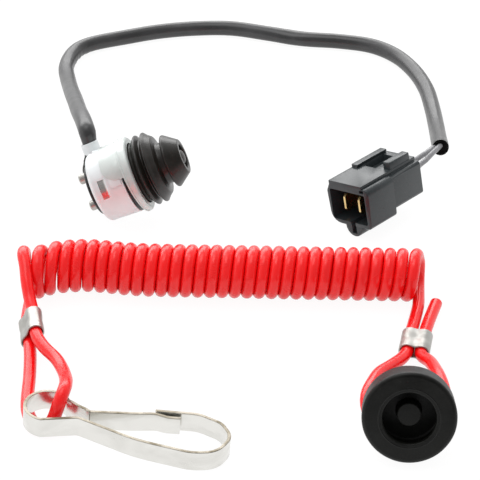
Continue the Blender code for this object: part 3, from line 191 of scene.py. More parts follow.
# %% Shared node groups
def new_group(name, values, results):
    """An empty node group with a Vector input, a number input for each value, and (label, kind) results."""
    made = bpy.data.node_groups.new(name, "ShaderNodeTree")
    made.interface.new_socket(name="Vector", in_out="INPUT", socket_type="NodeSocketVector")
    for label, value in values.items():
        socket = made.interface.new_socket(name=label, in_out="INPUT", socket_type="NodeSocketFloat")
        socket.default_value = value
    for label, kind in results:
        made.interface.new_socket(name=label, in_out="OUTPUT", socket_type=kind)
    return made, made.nodes.new("NodeGroupInput"), made.nodes.new("NodeGroupOutput")


def noise_node(tree, vector, scale, detail=3.0, rough=0.55, distortion=0.0):
    node = tree.nodes.new("ShaderNodeTexNoise")
    set_inputs(node, Detail=detail, Roughness=rough, Distortion=distortion)
    if isinstance(scale, (int, float)):
        node.inputs["Scale"].default_value = scale
    else:
        tree.links.new(scale, node.inputs["Scale"])
    tree.links.new(vector, node.inputs["Vector"])
    return node


def math_node(tree, operation, first, second):
    node = tree.nodes.new("ShaderNodeMath")
    node.operation = operation
    for socket, value in zip(node.inputs, (first, second)):
        if isinstance(value, (int, float)):
            socket.default_value = value
        else:
            tree.links.new(value, socket)
    return node.outputs[0]


WAVES_PER_GRAIN = 0.06
SPOTS_PER_BLOTCH = 12.0
SPOT_SPAN = (0.62, 0.72)


def make_grain():
    """Fine grain and slow waves as one normal."""
    group, given, out = new_group("fine_grain", {"Scale": 4000.0, "Height": 0.00002, "Waves": 0.0002},
                                  (("Normal", "NodeSocketVector"), ("Grain", "NodeSocketFloat")))
    fine = noise_node(group, given.outputs["Vector"], given.outputs["Scale"])
    slow_scale = math_node(group, "MULTIPLY", given.outputs["Scale"], WAVES_PER_GRAIN)
    slow = noise_node(group, given.outputs["Vector"], slow_scale, 1.0)
    first = group.nodes.new("ShaderNodeBump")
    group.links.new(slow.outputs["Fac"], first.inputs["Height"])
    group.links.new(given.outputs["Waves"], first.inputs["Distance"])
    second = group.nodes.new("ShaderNodeBump")
    group.links.new(fine.outputs["Fac"], second.inputs["Height"])
    group.links.new(given.outputs["Height"], second.inputs["Distance"])
    group.links.new(first.outputs["Normal"], second.inputs["Normal"])
    group.links.new(second.outputs["Normal"], out.inputs["Normal"])
    group.links.new(fine.outputs["Fac"], out.inputs["Grain"])
    return group


def make_blotches():
    """Slow blotches and small spots as two masks."""
    group, given, out = new_group("slow_blotches", {"Scale": 200.0, "Low": 0.4, "High": 0.7},
                                  (("Mask", "NodeSocketFloat"), ("Speckle", "NodeSocketFloat")))
    broad = noise_node(group, given.outputs["Vector"], given.outputs["Scale"], 5.0, 0.62, 0.4)
    span = group.nodes.new("ShaderNodeMapRange")
    group.links.new(broad.outputs["Fac"], span.inputs["Value"])
    group.links.new(given.outputs["Low"], span.inputs["From Min"])
    group.links.new(given.outputs["High"], span.inputs["From Max"])
    fine_scale = math_node(group, "MULTIPLY", given.outputs["Scale"], SPOTS_PER_BLOTCH)
    dots = noise_node(group, given.outputs["Vector"], fine_scale, 2.0)
    spots = group.nodes.new("ShaderNodeMapRange")
    set_inputs(spots, From_Min=SPOT_SPAN[0], From_Max=SPOT_SPAN[1])
    group.links.new(dots.outputs["Fac"], spots.inputs["Value"])
    group.links.new(span.outputs["Result"], out.inputs["Mask"])
    group.links.new(spots.outputs["Result"], out.inputs["Speckle"])
    return group


GRAIN = make_grain()
BLOTCHES = make_blotches()
SPECK_SHARE = 0.35
DUST_BLUE = 0.96
BLOTCH_SHARE, GRAIN_SHARE = 0.7, 0.3


def finish(name, base, worn, rough, metallic=0.0, grain=3000.0, height=0.00001, waves=0.0001,
           blotch=220.0, span=(0.42, 0.68), speck=0.0, stretch=(1.0, 1.0, 1.0), **constants):
    """A finish: its colour and roughness each run between two values by blotches and grain.

    grain and blotch are counts a metre, height and waves are metres, speck is the grey of its dust, and the
    constants go on the shader itself.
    """
    made = bpy.data.materials.new(name)
    made.use_nodes = True
    tree = made.node_tree
    shader = tree.nodes["Principled BSDF"]
    place = tree.nodes.new("ShaderNodeTexCoord").outputs["Object"]
    pull = tree.nodes.new("ShaderNodeMapping")
    set_inputs(pull, Scale=stretch)
    tree.links.new(place, pull.inputs["Vector"])
    skin = tree.nodes.new("ShaderNodeGroup")
    skin.node_tree = GRAIN
    set_inputs(skin, Scale=grain, Height=height, Waves=waves)
    tree.links.new(pull.outputs[0], skin.inputs["Vector"])
    tree.links.new(skin.outputs["Normal"], shader.inputs["Normal"])
    patches = tree.nodes.new("ShaderNodeGroup")
    patches.node_tree = BLOTCHES
    set_inputs(patches, Scale=blotch, Low=span[0], High=span[1])
    tree.links.new(pull.outputs[0], patches.inputs["Vector"])
    blend = tree.nodes.new("ShaderNodeMix")
    blend.data_type = "RGBA"
    set_inputs(blend, A=(*base, 1.0), B=(*worn, 1.0))
    tree.links.new(patches.outputs["Mask"], blend.inputs["Factor"])
    colour = blend.outputs["Result"]
    if speck:
        dust = tree.nodes.new("ShaderNodeMix")
        dust.data_type = "RGBA"
        set_inputs(dust, B=(speck, speck, speck * DUST_BLUE, 1.0))
        amount = math_node(tree, "MULTIPLY", patches.outputs["Speckle"], SPECK_SHARE)
        tree.links.new(amount, dust.inputs["Factor"])
        tree.links.new(colour, dust.inputs["A"])
        colour = dust.outputs["Result"]
    tree.links.new(colour, shader.inputs["Base Color"])
    polish = tree.nodes.new("ShaderNodeMapRange")
    set_inputs(polish, To_Min=rough[0], To_Max=rough[1])
    both = math_node(tree, "ADD", math_node(tree, "MULTIPLY", patches.outputs["Mask"], BLOTCH_SHARE),
                     math_node(tree, "MULTIPLY", skin.outputs["Grain"], GRAIN_SHARE))
    tree.links.new(both, polish.inputs["Value"])
    tree.links.new(polish.outputs["Result"], shader.inputs["Roughness"])
    set_inputs(shader, Metallic=metallic, **constants)
    return made


steel_can = finish("satin_zinc_can", (0.815, 0.85, 0.86), (0.77, 0.8, 0.81), (0.42, 0.54), 0.25, 2600.0,
                   0.000004, 0.00004, 160.0)
recess_floor = finish("pressed_recess", (0.8, 0.78, 0.75), (0.72, 0.7, 0.67), (0.2, 0.3), 1.0, 2600.0,
                      0.000002, 0.00002, 240.0)
zinc = finish("clear_zinc_plate", (0.68, 0.725, 0.705), (0.61, 0.655, 0.635), (0.3, 0.42), 0.35, 2600.0,
              0.000005, 0.00004, 240.0)
nickel = finish("nickel_plate", (0.47, 0.465, 0.44), (0.4, 0.395, 0.37), (0.4, 0.52), 0.9, 3000.0,
                0.000004, 0.00004, 260.0)
hook_steel = finish("polished_nickel_strip", (0.8, 0.79, 0.755), (0.72, 0.71, 0.675), (0.16, 0.3), 1.0, 3200.0,
                    0.000003, 0.00004, 180.0, stretch=(0.35, 1.0, 1.0))
# The sheared edges are rougher than the faces, as a cut edge is; their dark brown colour is painted dark
# reflection.
sheared_edge_painted_dark = finish("sheared_edge_painted_dark_reflection", (0.19, 0.165, 0.12), (0.48, 0.44, 0.37), (0.42, 0.6), 1.0, 2400.0,
                 0.00001, 0.00004, 140.0, span=(0.4, 0.6))
brass = finish("stamped_brass", (0.8, 0.58, 0.27), (0.6, 0.41, 0.18), (0.18, 0.36), 1.0, 3200.0,
               0.000005, 0.00004, 300.0)
spring_wire = finish("spring_steel_wire", (0.55, 0.55, 0.56), (0.4, 0.4, 0.4), (0.28, 0.42), 1.0)
boot_rubber = finish("boot_rubber", (0.011, 0.0095, 0.0075), (0.02, 0.017, 0.014), (0.26, 0.4), 0.0, 2400.0,
                     0.00002, 0.0001, 170.0, speck=0.08, Specular_IOR_Level=0.5)
cap_rubber = finish("cap_rubber", (0.0036, 0.0038, 0.003), (0.0072, 0.0074, 0.0062), (0.38, 0.54), 0.0, 2200.0,
                    0.00003, 0.0001, 150.0, speck=0.02, Specular_IOR_Level=0.28)
vinyl = finish("grey_vinyl_sleeve", (0.036, 0.036, 0.037), (0.052, 0.052, 0.054), (0.26, 0.4), 0.0, 1800.0,
               0.000015, 0.0002, 90.0, speck=0.08, Specular_IOR_Level=0.55)
wire_vinyl = finish("grey_wire_vinyl", (0.3, 0.3, 0.31), (0.22, 0.22, 0.23), (0.28, 0.4), 0.0, 2600.0,
                    0.00001, 0.00006, 220.0)
nylon = finish("dark_nylon_housing", (0.02, 0.026, 0.029), (0.028, 0.035, 0.038), (0.26, 0.4), 0.0, 2600.0,
               0.000012, 0.00005, 200.0, speck=0.1, Specular_IOR_Level=0.55)
black_plastic = finish("black_moulded_base", (0.008, 0.008, 0.008), (0.016, 0.016, 0.015), (0.35, 0.5))
plunger_nylon = finish("plunger_nylon", (0.05, 0.05, 0.05), (0.08, 0.078, 0.074), (0.3, 0.42))
red_vinyl = finish("red_vinyl_cord", (0.97, 0.008, 0.009), (0.88, 0.005, 0.006), (0.22, 0.34), 0.0, 2000.0,
                   0.000008, 0.00005, 120.0, Specular_IOR_Level=0.5)
stud_metal = finish("dull_terminal_stud", (0.5, 0.49, 0.46), (0.36, 0.35, 0.325), (0.34, 0.48), 0.8, 3000.0,
                    0.000004, 0.00004, 300.0)
# The sleeve's cut face and bore are rougher, as a cut is, and near black as painted shade of the hollow bore.
sleeve_end_painted_shade = finish("sleeve_cut_end_painted_bore_shade", (0.004, 0.004, 0.004), (0.007, 0.007, 0.007), (0.5, 0.6),
                   Specular_IOR_Level=0.2)
print("finishes", len(bpy.data.materials))

# %% [markdown]
# ## Tools for making the pieces
# Turned pieces are a profile spun full round. Cords are swept along a smooth route through given points.
# Sheet pieces are a path on edge, thickened. All are placed straight in the mesh, so each finished object
# stays at the origin.

# %% Making tools
def frame_at(place, out, along):
    """Millimetres of a piece's own frame to metres on the table, with local Z along out."""
    z_axis = Vector(out).normalized()
    along = Vector(along)
    x_axis = (along - z_axis * along.dot(z_axis)).normalized()
    turn = Matrix((x_axis, z_axis.cross(x_axis), z_axis)).transposed().to_4x4()
    return Matrix.Translation((Vector(place) + SHIFT) * MM) @ turn @ Matrix.Scale(MM, 4)


def add_piece(name, work, surface, body, hides=(), matrix=None, sharp=32.0):
    """A finished piece from a bmesh: placed, shaded, given its finish and its body."""
    if matrix is not None:
        bmesh.ops.transform(work, matrix=matrix, verts=work.verts)
    bmesh.ops.recalc_face_normals(work, faces=work.faces)
    mesh = bpy.data.meshes.new(name)
    work.to_mesh(mesh)
    work.free()
    mesh.shade_smooth()
    mesh.set_sharp_from_angle(angle=math.radians(sharp))
    mesh.materials.append(surface)
    piece = new_object(name, mesh)
    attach(piece, body)
    if hides:
        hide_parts(*hides)
    print(name, len(mesh.polygons), "faces")
    return piece


MOST_OF_SIDE = 0.49


def filleted(corners, closed=False, spread=12.0):
    """A 2D path through ((x, y), radius) corners, each rounded by its radius, a point each spread degrees."""
    path = []
    count = len(corners)
    for index, (corner, radius) in enumerate(corners):
        at = Vector(corner)
        if radius == 0 or (index in (0, count - 1) and not closed):
            path.append(at)
            continue
        before = Vector(corners[index - 1][0]) - at
        after = Vector(corners[(index + 1) % count][0]) - at
        half = before.angle(after) / 2
        reach = min(radius / math.tan(half), MOST_OF_SIDE * before.length, MOST_OF_SIDE * after.length)
        start = at + before.normalized() * reach
        inwards = (before.normalized() + after.normalized()).normalized()
        centre = at + inwards * (reach * math.tan(half) / math.sin(half))
        swing = math.pi - 2 * half
        steps = max(2, round(math.degrees(swing) / spread))
        side = 1 if before.cross(after) < 0 else -1
        for step in range(steps + 1):
            path.append(centre + Matrix.Rotation(side * swing * step / steps, 2) @ (start - centre))
    return path


WELD_MM = 0.0005


def turned(outline, steps=128, closed=False):
    """A profile of (radius, height) points spun full round local Z."""
    work = bmesh.new()
    row = [work.verts.new((x, 0.0, z)) for x, z in outline]
    edges = [work.edges.new(pair) for pair in zip(row, row[1:])]
    if closed:
        edges.append(work.edges.new((row[-1], row[0])))
    bmesh.ops.spin(work, geom=[*row, *edges], cent=(0, 0, 0), axis=(0, 0, 1), dvec=(0, 0, 0),
                   angle=math.tau, steps=steps, use_merge=True, use_duplicate=False)
    bmesh.ops.remove_doubles(work, verts=work.verts, dist=WELD_MM)
    return work


def pushed_out(vertex, change, radius):
    """Moves a point of a turned piece away from its axis."""
    vertex.co.x *= 1 + change / radius
    vertex.co.y *= 1 + change / radius


def taken_in(work, other):
    """Adds another bmesh's faces to work and frees it."""
    holder = bpy.data.meshes.new("holder")
    other.to_mesh(holder)
    other.free()
    work.from_mesh(holder)
    bpy.data.meshes.remove(holder)


SPAN_STEPS = 16


def smooth_route(points, spacing):
    """Evenly spaced points on a smooth curve (Catmull-Rom) through the given ones."""
    ends = [points[0] * 2 - points[1], *points, points[-1] * 2 - points[-2]]
    fine = []
    for index in range(1, len(ends) - 2):
        before, start, end, after = ends[index - 1 : index + 3]
        for step in range(SPAN_STEPS):
            t = step / SPAN_STEPS
            bend = 2 * before - 5 * start + 4 * end - after
            twist = 3 * start - before - 3 * end + after
            fine.append(0.5 * (2 * start + (end - before) * t + bend * t**2 + twist * t**3))
    fine.append(points[-1])
    steps = [(b - a).length for a, b in zip(fine, fine[1:])]
    count = max(2, round(sum(steps) / spacing))
    pitch = sum(steps) / count
    route = [fine[0]]
    walked = 0.0
    for start, end, step in zip(fine, fine[1:], steps):
        while len(route) < count and walked + step >= pitch * len(route):
            route.append(start.lerp(end, (pitch * len(route) - walked) / step))
        walked += step
    route.append(fine[-1])
    return route


def skinned(work, rings):
    """Faces between each ring of points and the next."""
    count = len(rings[0])
    for before, after in zip(rings, rings[1:]):
        for step in range(count):
            nxt = (step + 1) % count
            work.faces.new((before[step], before[nxt], after[nxt], after[step]))


def swept(route, sections):
    """Rings along a route, each from a list of (along-normal, along-side) offsets, ends closed."""
    work = bmesh.new()
    tangents = []
    for index in range(len(route)):
        ahead = route[min(index + 1, len(route) - 1)]
        behind = route[max(index - 1, 0)]
        tangents.append((ahead - behind).normalized())
    normal = tangents[0].orthogonal().normalized()
    if abs(tangents[0].z) < 0.9:
        normal = (Vector((0, 0, 1)) - tangents[0] * tangents[0].z).normalized()
    rings = []
    for index, (point, tangent) in enumerate(zip(route, tangents)):
        normal = (normal - tangent * normal.dot(tangent)).normalized()
        side = tangent.cross(normal)
        rings.append([work.verts.new(point + normal * a + side * b) for a, b in sections(index)])
    skinned(work, rings)
    work.faces.new(rings[0][::-1])
    work.faces.new(rings[-1])
    return work


def ring_of(radius, sides):
    angles = [math.tau * k / sides for k in range(sides)]
    return [(radius * math.cos(angle), radius * math.sin(angle)) for angle in angles]


def table_points(points):
    return [(Vector(point) + SHIFT) * MM for point in points]


def add_cord(name, route, diameter, surface, hides):
    """A plain round cord as a bevelled curve of one open spline."""
    curve = bpy.data.curves.new(name, "CURVE")
    curve.dimensions = "3D"
    curve.bevel_depth = diameter / 2
    curve.bevel_resolution = 5
    curve.use_fill_caps = True
    spline = curve.splines.new("POLY")
    spline.points.add(len(route) - 1)
    for point, place in zip(spline.points, route):
        point.co = (*place, 1.0)
    spline.use_smooth = True
    curve.materials.append(surface)
    piece = new_object(name, curve)
    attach(piece, BASE)
    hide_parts(*hides)
    return piece


def length_of(route):
    return sum((b - a).length for a, b in zip(route, route[1:]))


BASE = "switch_and_tether"
SWITCH = frame_at((-36.67, 15.72, 15.75), (0.9225, 0.049, 0.3828), (-0.35, 0.524, 0.777))
CONNECTOR = frame_at((29.7, 11.2, 16.85), (-0.16, 0.16, 0.97), (0.69, -0.68, 0.22))
CAP_TILT, CAP_YAW = math.radians(20.0), math.radians(-4.0)
CAP = frame_at((47.1, -111.1, 14.94), (math.sin(CAP_YAW) * math.cos(CAP_TILT),
               -math.cos(CAP_YAW) * math.cos(CAP_TILT), math.sin(CAP_TILT)), (1, 0, 0))
HOOK_TILT = math.radians(4.3)
HOOK = frame_at((-43.1, -101.1, 3.05), (math.sin(HOOK_TILT), 0.0, math.cos(HOOK_TILT)), (1, 0, 0))
print("frames set")

# %% [markdown]
# ## The red cord
# One glossy red vinyl cord of 3.9 mm. Thirty-one close turns are wound on a rod and set by heat, which leaves
# two straight ends. Each end goes through its metal sleeve, round the hook's ring or the cap's neck, and back
# into the sleeve with a short tail. The helix is worked out turn by turn and joined to the two ends' points,
# so it is one unbroken line from tail to tail.

# %% Red cord
CORD = 3.9
COIL_RADIUS = 6.65
COIL_HEIGHT = 8.6
COIL_TURNS = 30
TURN_STEPS = 24
STEP_DEGREES = 360 / TURN_STEPS
COIL_LEFT, COIL_RIGHT = -62.9, 55.0
COIL_LEAN = 0.063
LEAD_IN_X, LEAD_IN_STEPS, LEAD_IN_SPEED = -68.9, 9, 4.8
LEAD_OUT_X = 2.4
WANDER, WANDER_WAVES = 0.12, 37.0
# How far the first turns were pulled along the coil, for each half turn from the first crest on
LOOSE = (-1.05, -0.25, -0.17, -0.1, 0.0, -0.1, -0.1, 0.0)
# The cord's two ends, from the coil to the tip, in layout millimetres
HOOK_END = (
    (-68.9, -25.6, 12.2), (-68.9, -28.6, 14.9), (-68.6, -31.8, 15.2),
    (-67.7, -35.4, 13.8), (-66.9, -40.2, 11.0), (-65.7, -44.8, 7.9), (-64.3, -49.6, 6.45),
    (-63.5, -54.0, 6.4), (-62.55, -59.6, 6.35), (-61.1, -63.7, 6.3), (-58.6, -68.1, 6.3),
    (-55.0, -73.4, 6.7), (-52.5, -79.6, 7.7), (-50.9, -86.0, 9.6), (-50.2, -91.6, 11.9),
    (-50.3, -96.0, 13.1), (-51.1, -98.9, 12.1), (-52.3, -100.3, 9.0), (-53.6, -100.5, 5.6),
    (-55.4, -100.2, 3.0), (-57.6, -99.3, 2.0), (-60.2, -96.6, 2.0), (-61.9, -92.0, 2.0),
    (-62.6, -86.0, 2.0), (-63.0, -76.0, 2.05),
    (-63.8, -66.0, 2.4), (-64.9, -58.4, 2.75), (-65.7, -54.0, 2.78), (-66.5, -49.6, 2.75),
    (-66.8, -44.0, 2.3), (-66.8, -38.6, 2.0),
)
CAP_END = (
    (57.6, -27.4, 4.4), (57.4, -30.3, 2.3), (57.0, -35.2, 2.0), (56.5, -40.0, 2.0),
    (55.1, -46.4, 2.3), (53.5, -52.9, 2.7), (52.65, -56.4, 2.75), (51.75, -60.6, 2.75),
    (50.85, -64.8, 2.8), (48.9, -69.2, 3.6), (45.2, -74.8, 5.2), (41.2, -80.6, 7.0),
    (38.7, -86.8, 8.4), (36.8, -92.6, 9.1), (36.4, -97.0, 8.1), (38.2, -100.2, 5.2),
    (42.0, -101.9, 2.9), (48.0, -102.3, 2.0), (53.6, -101.7, 2.8), (57.3, -99.8, 5.2),
    (58.9, -96.4, 8.4), (59.0, -91.2, 9.2), (58.6, -85.0, 8.5), (57.9, -78.6, 6.8),
    (57.0, -72.4, 4.8), (55.4, -68.2, 3.3), (55.05, -65.2, 2.8), (55.95, -61.0, 2.75),
    (56.85, -56.8, 2.75), (57.85, -52.9, 2.7), (60.0, -45.8, 2.3), (62.3, -38.8, 2.0),
)


def coil_middle(x):
    """The coil's axis bows back near its left end, and its first turns droop."""
    bow = 1.9 * math.exp(-(((x + 49.0) / 11.0) ** 2))
    droop = 3.6 * math.exp(-(((x + 68.0) / 6.0) ** 2))
    return -28.8 - 3.9 * (x + 64.6) / 120.4 + bow - droop


def coil_point(x, degrees):
    """A point of the coil. Its turns lean a little more towards the right end, their tops to the right."""
    angle = math.radians(degrees)
    back, up = -COIL_RADIUS * math.sin(angle), COIL_RADIUS * math.cos(angle)
    upwards = 0.559 * back + 0.829 * up  # in the camera's view
    lean = COIL_LEAN * (x - COIL_LEFT) / (COIL_RIGHT - COIL_LEFT) * upwards
    return Vector((x + lean, coil_middle(x) + back, COIL_HEIGHT + up))


def loose_shift(step):
    """How far a point lies from its even place."""
    half, share = divmod(step / (TURN_STEPS // 2), 1.0)
    if half + 1 >= len(LOOSE):
        return 0.0
    before, after = LOOSE[int(half)], LOOSE[int(half) + 1]
    return before + (after - before) * (1 - math.cos(math.pi * share)) / 2


coil = []
for step in range(LEAD_IN_STEPS):
    share = step / LEAD_IN_STEPS
    reached = 1 - (1 - share) ** LEAD_IN_SPEED
    coil.append(coil_point(LEAD_IN_X + (COIL_LEFT + LOOSE[0] - LEAD_IN_X) * reached, 270.0 * (1 - share)))
for step in range(COIL_TURNS * TURN_STEPS + 1):
    share = step / (COIL_TURNS * TURN_STEPS)
    wander = WANDER * noise.noise(Vector((share * WANDER_WAVES, 0.3, 0.7))) + loose_shift(step)
    coil.append(coil_point(COIL_LEFT + (COIL_RIGHT - COIL_LEFT) * share + wander, -STEP_DEGREES * step))
quarter = TURN_STEPS // 4
for step in range(1, quarter + 1):
    coil.append(coil_point(COIL_RIGHT + LEAD_OUT_X * step / quarter, -STEP_DEGREES * step))
line = [Vector(point) for point in HOOK_END[::-1]] + coil + [Vector(point) for point in CAP_END]
red_route = smooth_route([(point + SHIFT) * MM for point in line], 1.55 * MM)
red_cord = add_cord("red_cord", red_route, CORD * MM, red_vinyl,
                    ("lanyard_coil", "hook_lead", "cap_lead"))
print("red cord", round(length_of(red_route), 3), "m,", len(red_route), "points")

# %% [markdown]
# ## The sleeve and its two wires
# A soft grey vinyl tube is slid over the two wires and clamped at the switch. It keeps the waves of its reel:
# it wrinkles on the inside of its tight bend and is pressed flat at one place. Its far end is a clean cut, so
# the wall shows; the cut face and the bore behind it are darkened to near black as painted shade. The sweep
# takes those folds as small changes of its section along the way.

# %% Sleeve
SLEEVE_START = ((12.3, -12.5, -13.2), (15.0, -12.0, -12.9), (17.8, -11.6, -12.5))
SLEEVE_ROUTE = (
    (-53.2, 35.7, 21.6), (-55.3, 44.8, 20.8), (-57.8, 56.1, 18.0), (-60.8, 72.7, 13.2),
    (-63.6, 87.5, 8.8), (-66.4, 103.3, 4.9), (-68.2, 114.4, 3.3), (-68.1, 121.5, 3.05),
    (-66.8, 127.8, 3.05), (-64.2, 133.0, 3.05), (-58.6, 137.7, 3.05), (-47.1, 142.6, 3.05),
    (-32.7, 147.9, 3.05), (-18.0, 150.6, 3.05), (-3.3, 150.6, 3.05), (11.4, 146.1, 3.05),
    (26.0, 141.3, 3.05), (40.4, 139.1, 3.05), (53.1, 135.1, 3.05), (62.1, 126.6, 3.05),
    (68.2, 114.0, 3.05), (71.6, 99.5, 3.05), (72.5, 84.0, 3.4), (72.4, 69.6, 4.8),
    (71.7, 55.1, 7.8), (70.9, 41.0, 11.8),
)
SLEEVE, BORE = 3.0, 2.45
SIDES = 24
POCKET = 11  # rings of the bore, back from the open end
WAIST, WAIST_END, WAIST_RUN = 0.42, 7, 3
FOLD_REACH, FOLD_DEPTH, FOLD_PITCH = 9.0, 0.22, 2.6
PRESS_REACH, PRESS_DEPTH, PRESS_SPREAD = 6.0, 0.42, 0.16
start = [SWITCH @ Vector(point) for point in SLEEVE_START]
outer_route = smooth_route([*start, *table_points(SLEEVE_ROUTE)], 1.2 * MM)
sleeve_route = outer_route + outer_route[-1 : -1 - POCKET : -1]
last = len(outer_route) - 1
bend_at = Vector(table_points([(-67.0, 127.0, 3.0)])[0])
press_at = Vector(table_points([(20.5, 143.0, 3.0)])[0])


def sleeve_section(index):
    """The sleeve's ring at a place on its route: past the last place the route runs back inside as the bore."""
    if index > last:
        radius = BORE if index > last + 1 else BORE + 0.1
        return ring_of(radius * MM, SIDES)
    point = sleeve_route[index]
    fold = math.exp(-(((point - bend_at).length / (FOLD_REACH * MM)) ** 2))
    press = math.exp(-(((point - press_at).length / (PRESS_REACH * MM)) ** 2))
    drift = 0.05 * noise.noise(point * 60.0)
    waist = WAIST * max(0.0, min(1.0, (WAIST_END - index) / WAIST_RUN))
    offsets = []
    for k in range(SIDES):
        angle = math.tau * k / SIDES
        inner = max(0.0, math.sin(angle)) ** 2
        ripple = FOLD_DEPTH * fold * inner * math.sin(index * math.tau / FOLD_PITCH)
        flat = -PRESS_DEPTH * press * max(0.0, math.cos(angle)) ** 2
        flat += PRESS_SPREAD * press * abs(math.sin(angle))
        radius = (SLEEVE + drift + ripple + flat - waist - (0.12 if index == last else 0.0)) * MM
        offsets.append((radius * math.cos(angle), radius * math.sin(angle)))
    return offsets


work = swept(sleeve_route, sleeve_section)
# The cut face and the bore take the second finish: near black, as painted shade.
for face in list(work.faces)[last * SIDES : -2]:
    face.material_index = 1
sleeve = add_piece("sleeve_tube", work, vinyl, BASE, ("sleeve",), sharp=50.0)
sleeve.data.materials.append(sleeve_end_painted_shade)

# Each wire's place across the plug, its way on the table from plug to sleeve, and what it ends in
WIRES = {
    "wire_a": (4.4, ((58.2, 31.2, 10.1), (62.2, 34.4, 11.2), (65.6, 37.2, 12.0), (68.0, 40.2, 11.9),
                     (69.6, 43.2, 11.0), (70.4, 46.6, 9.7), (70.8, 50.0, 8.6)),
               ["connector_housing", "blade_terminal_a"]),
    "wire_b": (10.9, ((62.4, 30.3, 10.8), (64.8, 32.4, 11.7), (66.8, 34.8, 12.5), (68.9, 38.0, 12.6),
                      (71.3, 43.0, 11.9), (71.8, 48.2, 10.4)), ["blade_terminal_b"]),
}
for name, (across, points, ends) in WIRES.items():
    inside = [CONNECTOR @ Vector((across, depth, -8.5)) for depth in (21.4, 28.5)]
    route = smooth_route([*inside, *table_points(points)], 0.9 * MM)[::-1]
    wire = add_cord(f"{name}_cord", route, 1.9 * MM, wire_vinyl, (name,))
    print(name, round(length_of(route), 4), "m")

# %% [markdown]
# ## The switch's can and collar
# The can is drawn from sheet steel, with a large soft corner and its rear rim rolled in over the black base.
# Its satin zinc hides most of the wall's small waves, but one shallow pressed recess is bright enough to mirror
# the red cord. The collar is a rolled ring with a rounded tongue folded back over the can, and a thinner leaf
# of the can's own sheet beside it.

# %% Can
CAN_R, CAN_REAR = 12.3, -12.5
WALL_FROM = 11.6  # points further out than this are the can's outside
WALL_ROWS = 40
outer = filleted((((11.95, -2.0), 0.0), ((11.95, CAN_REAR), 3.0), ((8.9, CAN_REAR), 0.0)), spread=5.0)
side = [Vector((CAN_R - 0.35 * k / (WALL_ROWS - 1), -1.25 - 0.21 * k)) for k in range(WALL_ROWS)]
inner = filleted((((8.9, -11.9), 0.0), ((11.2, -11.9), 2.2), ((11.45, -1.0), 0.0)), spread=10.0)
profile = [Vector((12.12, -1.0)), Vector((12.25, -1.06)), *side, *outer[1:], Vector((8.75, -12.35)),
           Vector((8.75, -12.0)), *inner]
work = turned(profile, 224, closed=True)
RECESS_X, RECESS_S = -1.5, -8.35
HALF_X, HALF_S = 2.75, 0.95
RECESS_RIM, RECESS_DEPTH, FLOOR_SHARE = 0.9, 0.2, 0.45


def recess_share(x, s):
    """How far a point of the wall lies inside the pressed recess: 1 on its floor, 0 outside."""
    beside = max(abs(x - RECESS_X) - HALF_X, 0.0)
    along = max(abs(s - RECESS_S) - HALF_S, 0.0)
    return max(0.0, 1.0 - math.hypot(beside, along) / RECESS_RIM)


for vertex in work.verts:
    x, y, s = vertex.co
    radius = math.hypot(x, y)
    if radius > WALL_FROM and y > 0.0 and s > -12.0:
        edge = recess_share(x, s)
        depth = RECESS_DEPTH * edge * edge * (3 - 2 * edge)
        vertex.co = Vector((x * (1 - depth / radius), y * (1 - depth / radius), s))
    if radius > WALL_FROM:
        pushed_out(vertex, 0.03 * noise.noise(Vector((x, y, s)) * 0.22), radius)
for face in work.faces:
    middle = face.calc_center_median()
    outside = math.hypot(middle.x, middle.y) > WALL_FROM and middle.y > 0.0
    face.material_index = int(outside and recess_share(middle.x, middle.z) > FLOOR_SHARE)
can_shell = add_piece("can_shell", work, steel_can, BASE, ("housing_can",), SWITCH)
can_shell.data.materials.append(recess_floor)

work = turned(filleted((((0.0, -14.1), 0.0), ((8.8, -14.1), 0.6), ((8.8, -11.8), 0.2), ((10.8, -11.7), 0.8),
                        ((10.8, -10.7), 0.2), ((0.0, -10.7), 0.0))), 128)
add_piece("base_face", work, black_plastic, BASE, ("base_disc",), SWITCH)
for name, x, out in (("stud_a", 4.8, 3.5), ("stud_b", -4.8, 3.1)):
    work = turned(filleted((((0.0, -13.4 - out), 0.0), ((1.75, -13.4 - out), 0.6), ((1.75, -10.6), 0.0),
                            ((1.0, -10.6), 0.0), ((1.0, -9.3), 0.2), ((0.0, -9.3), 0.0)), spread=8.0), 64)
    bmesh.ops.translate(work, verts=work.verts, vec=(x, 3.0, 0.0))
    add_piece(name, work, stud_metal, BASE, (f"terminal_{name}",), SWITCH)

# %% Collar
ring = filleted((((10.7, 2.0), 0.1), ((10.7, 3.0), 0.2), ((11.4, 2.75), 0.15), ((12.5, 2.9), 0.3),
                 ((13.15, 2.45), 0.3), ((13.15, 0.95), 0.1), ((12.95, 0.75), 0.1), ((13.3, 0.5), 0.12),
                 ((13.3, 0.05), 0.15), ((12.75, 0.0), 0.1), ((12.75, 1.9), 0.2)), closed=True)
work = turned(ring, 192, closed=True)
# The skirt, all below SKIRT_TOP, slants: it reaches furthest back at SKIRT_ANGLE.
SKIRT_TOP, SKIRT_FULL, SKIRT_ANGLE = 1.2, 0.5, math.radians(20.0)
for vertex in work.verts:
    angle = math.atan2(vertex.co.y, vertex.co.x)
    share = max(0.0, min(1.0, (SKIRT_TOP - vertex.co.z) / (SKIRT_TOP - SKIRT_FULL)))
    vertex.co.z += share * (0.15 - 0.85 * math.cos(angle - SKIRT_ANGLE))


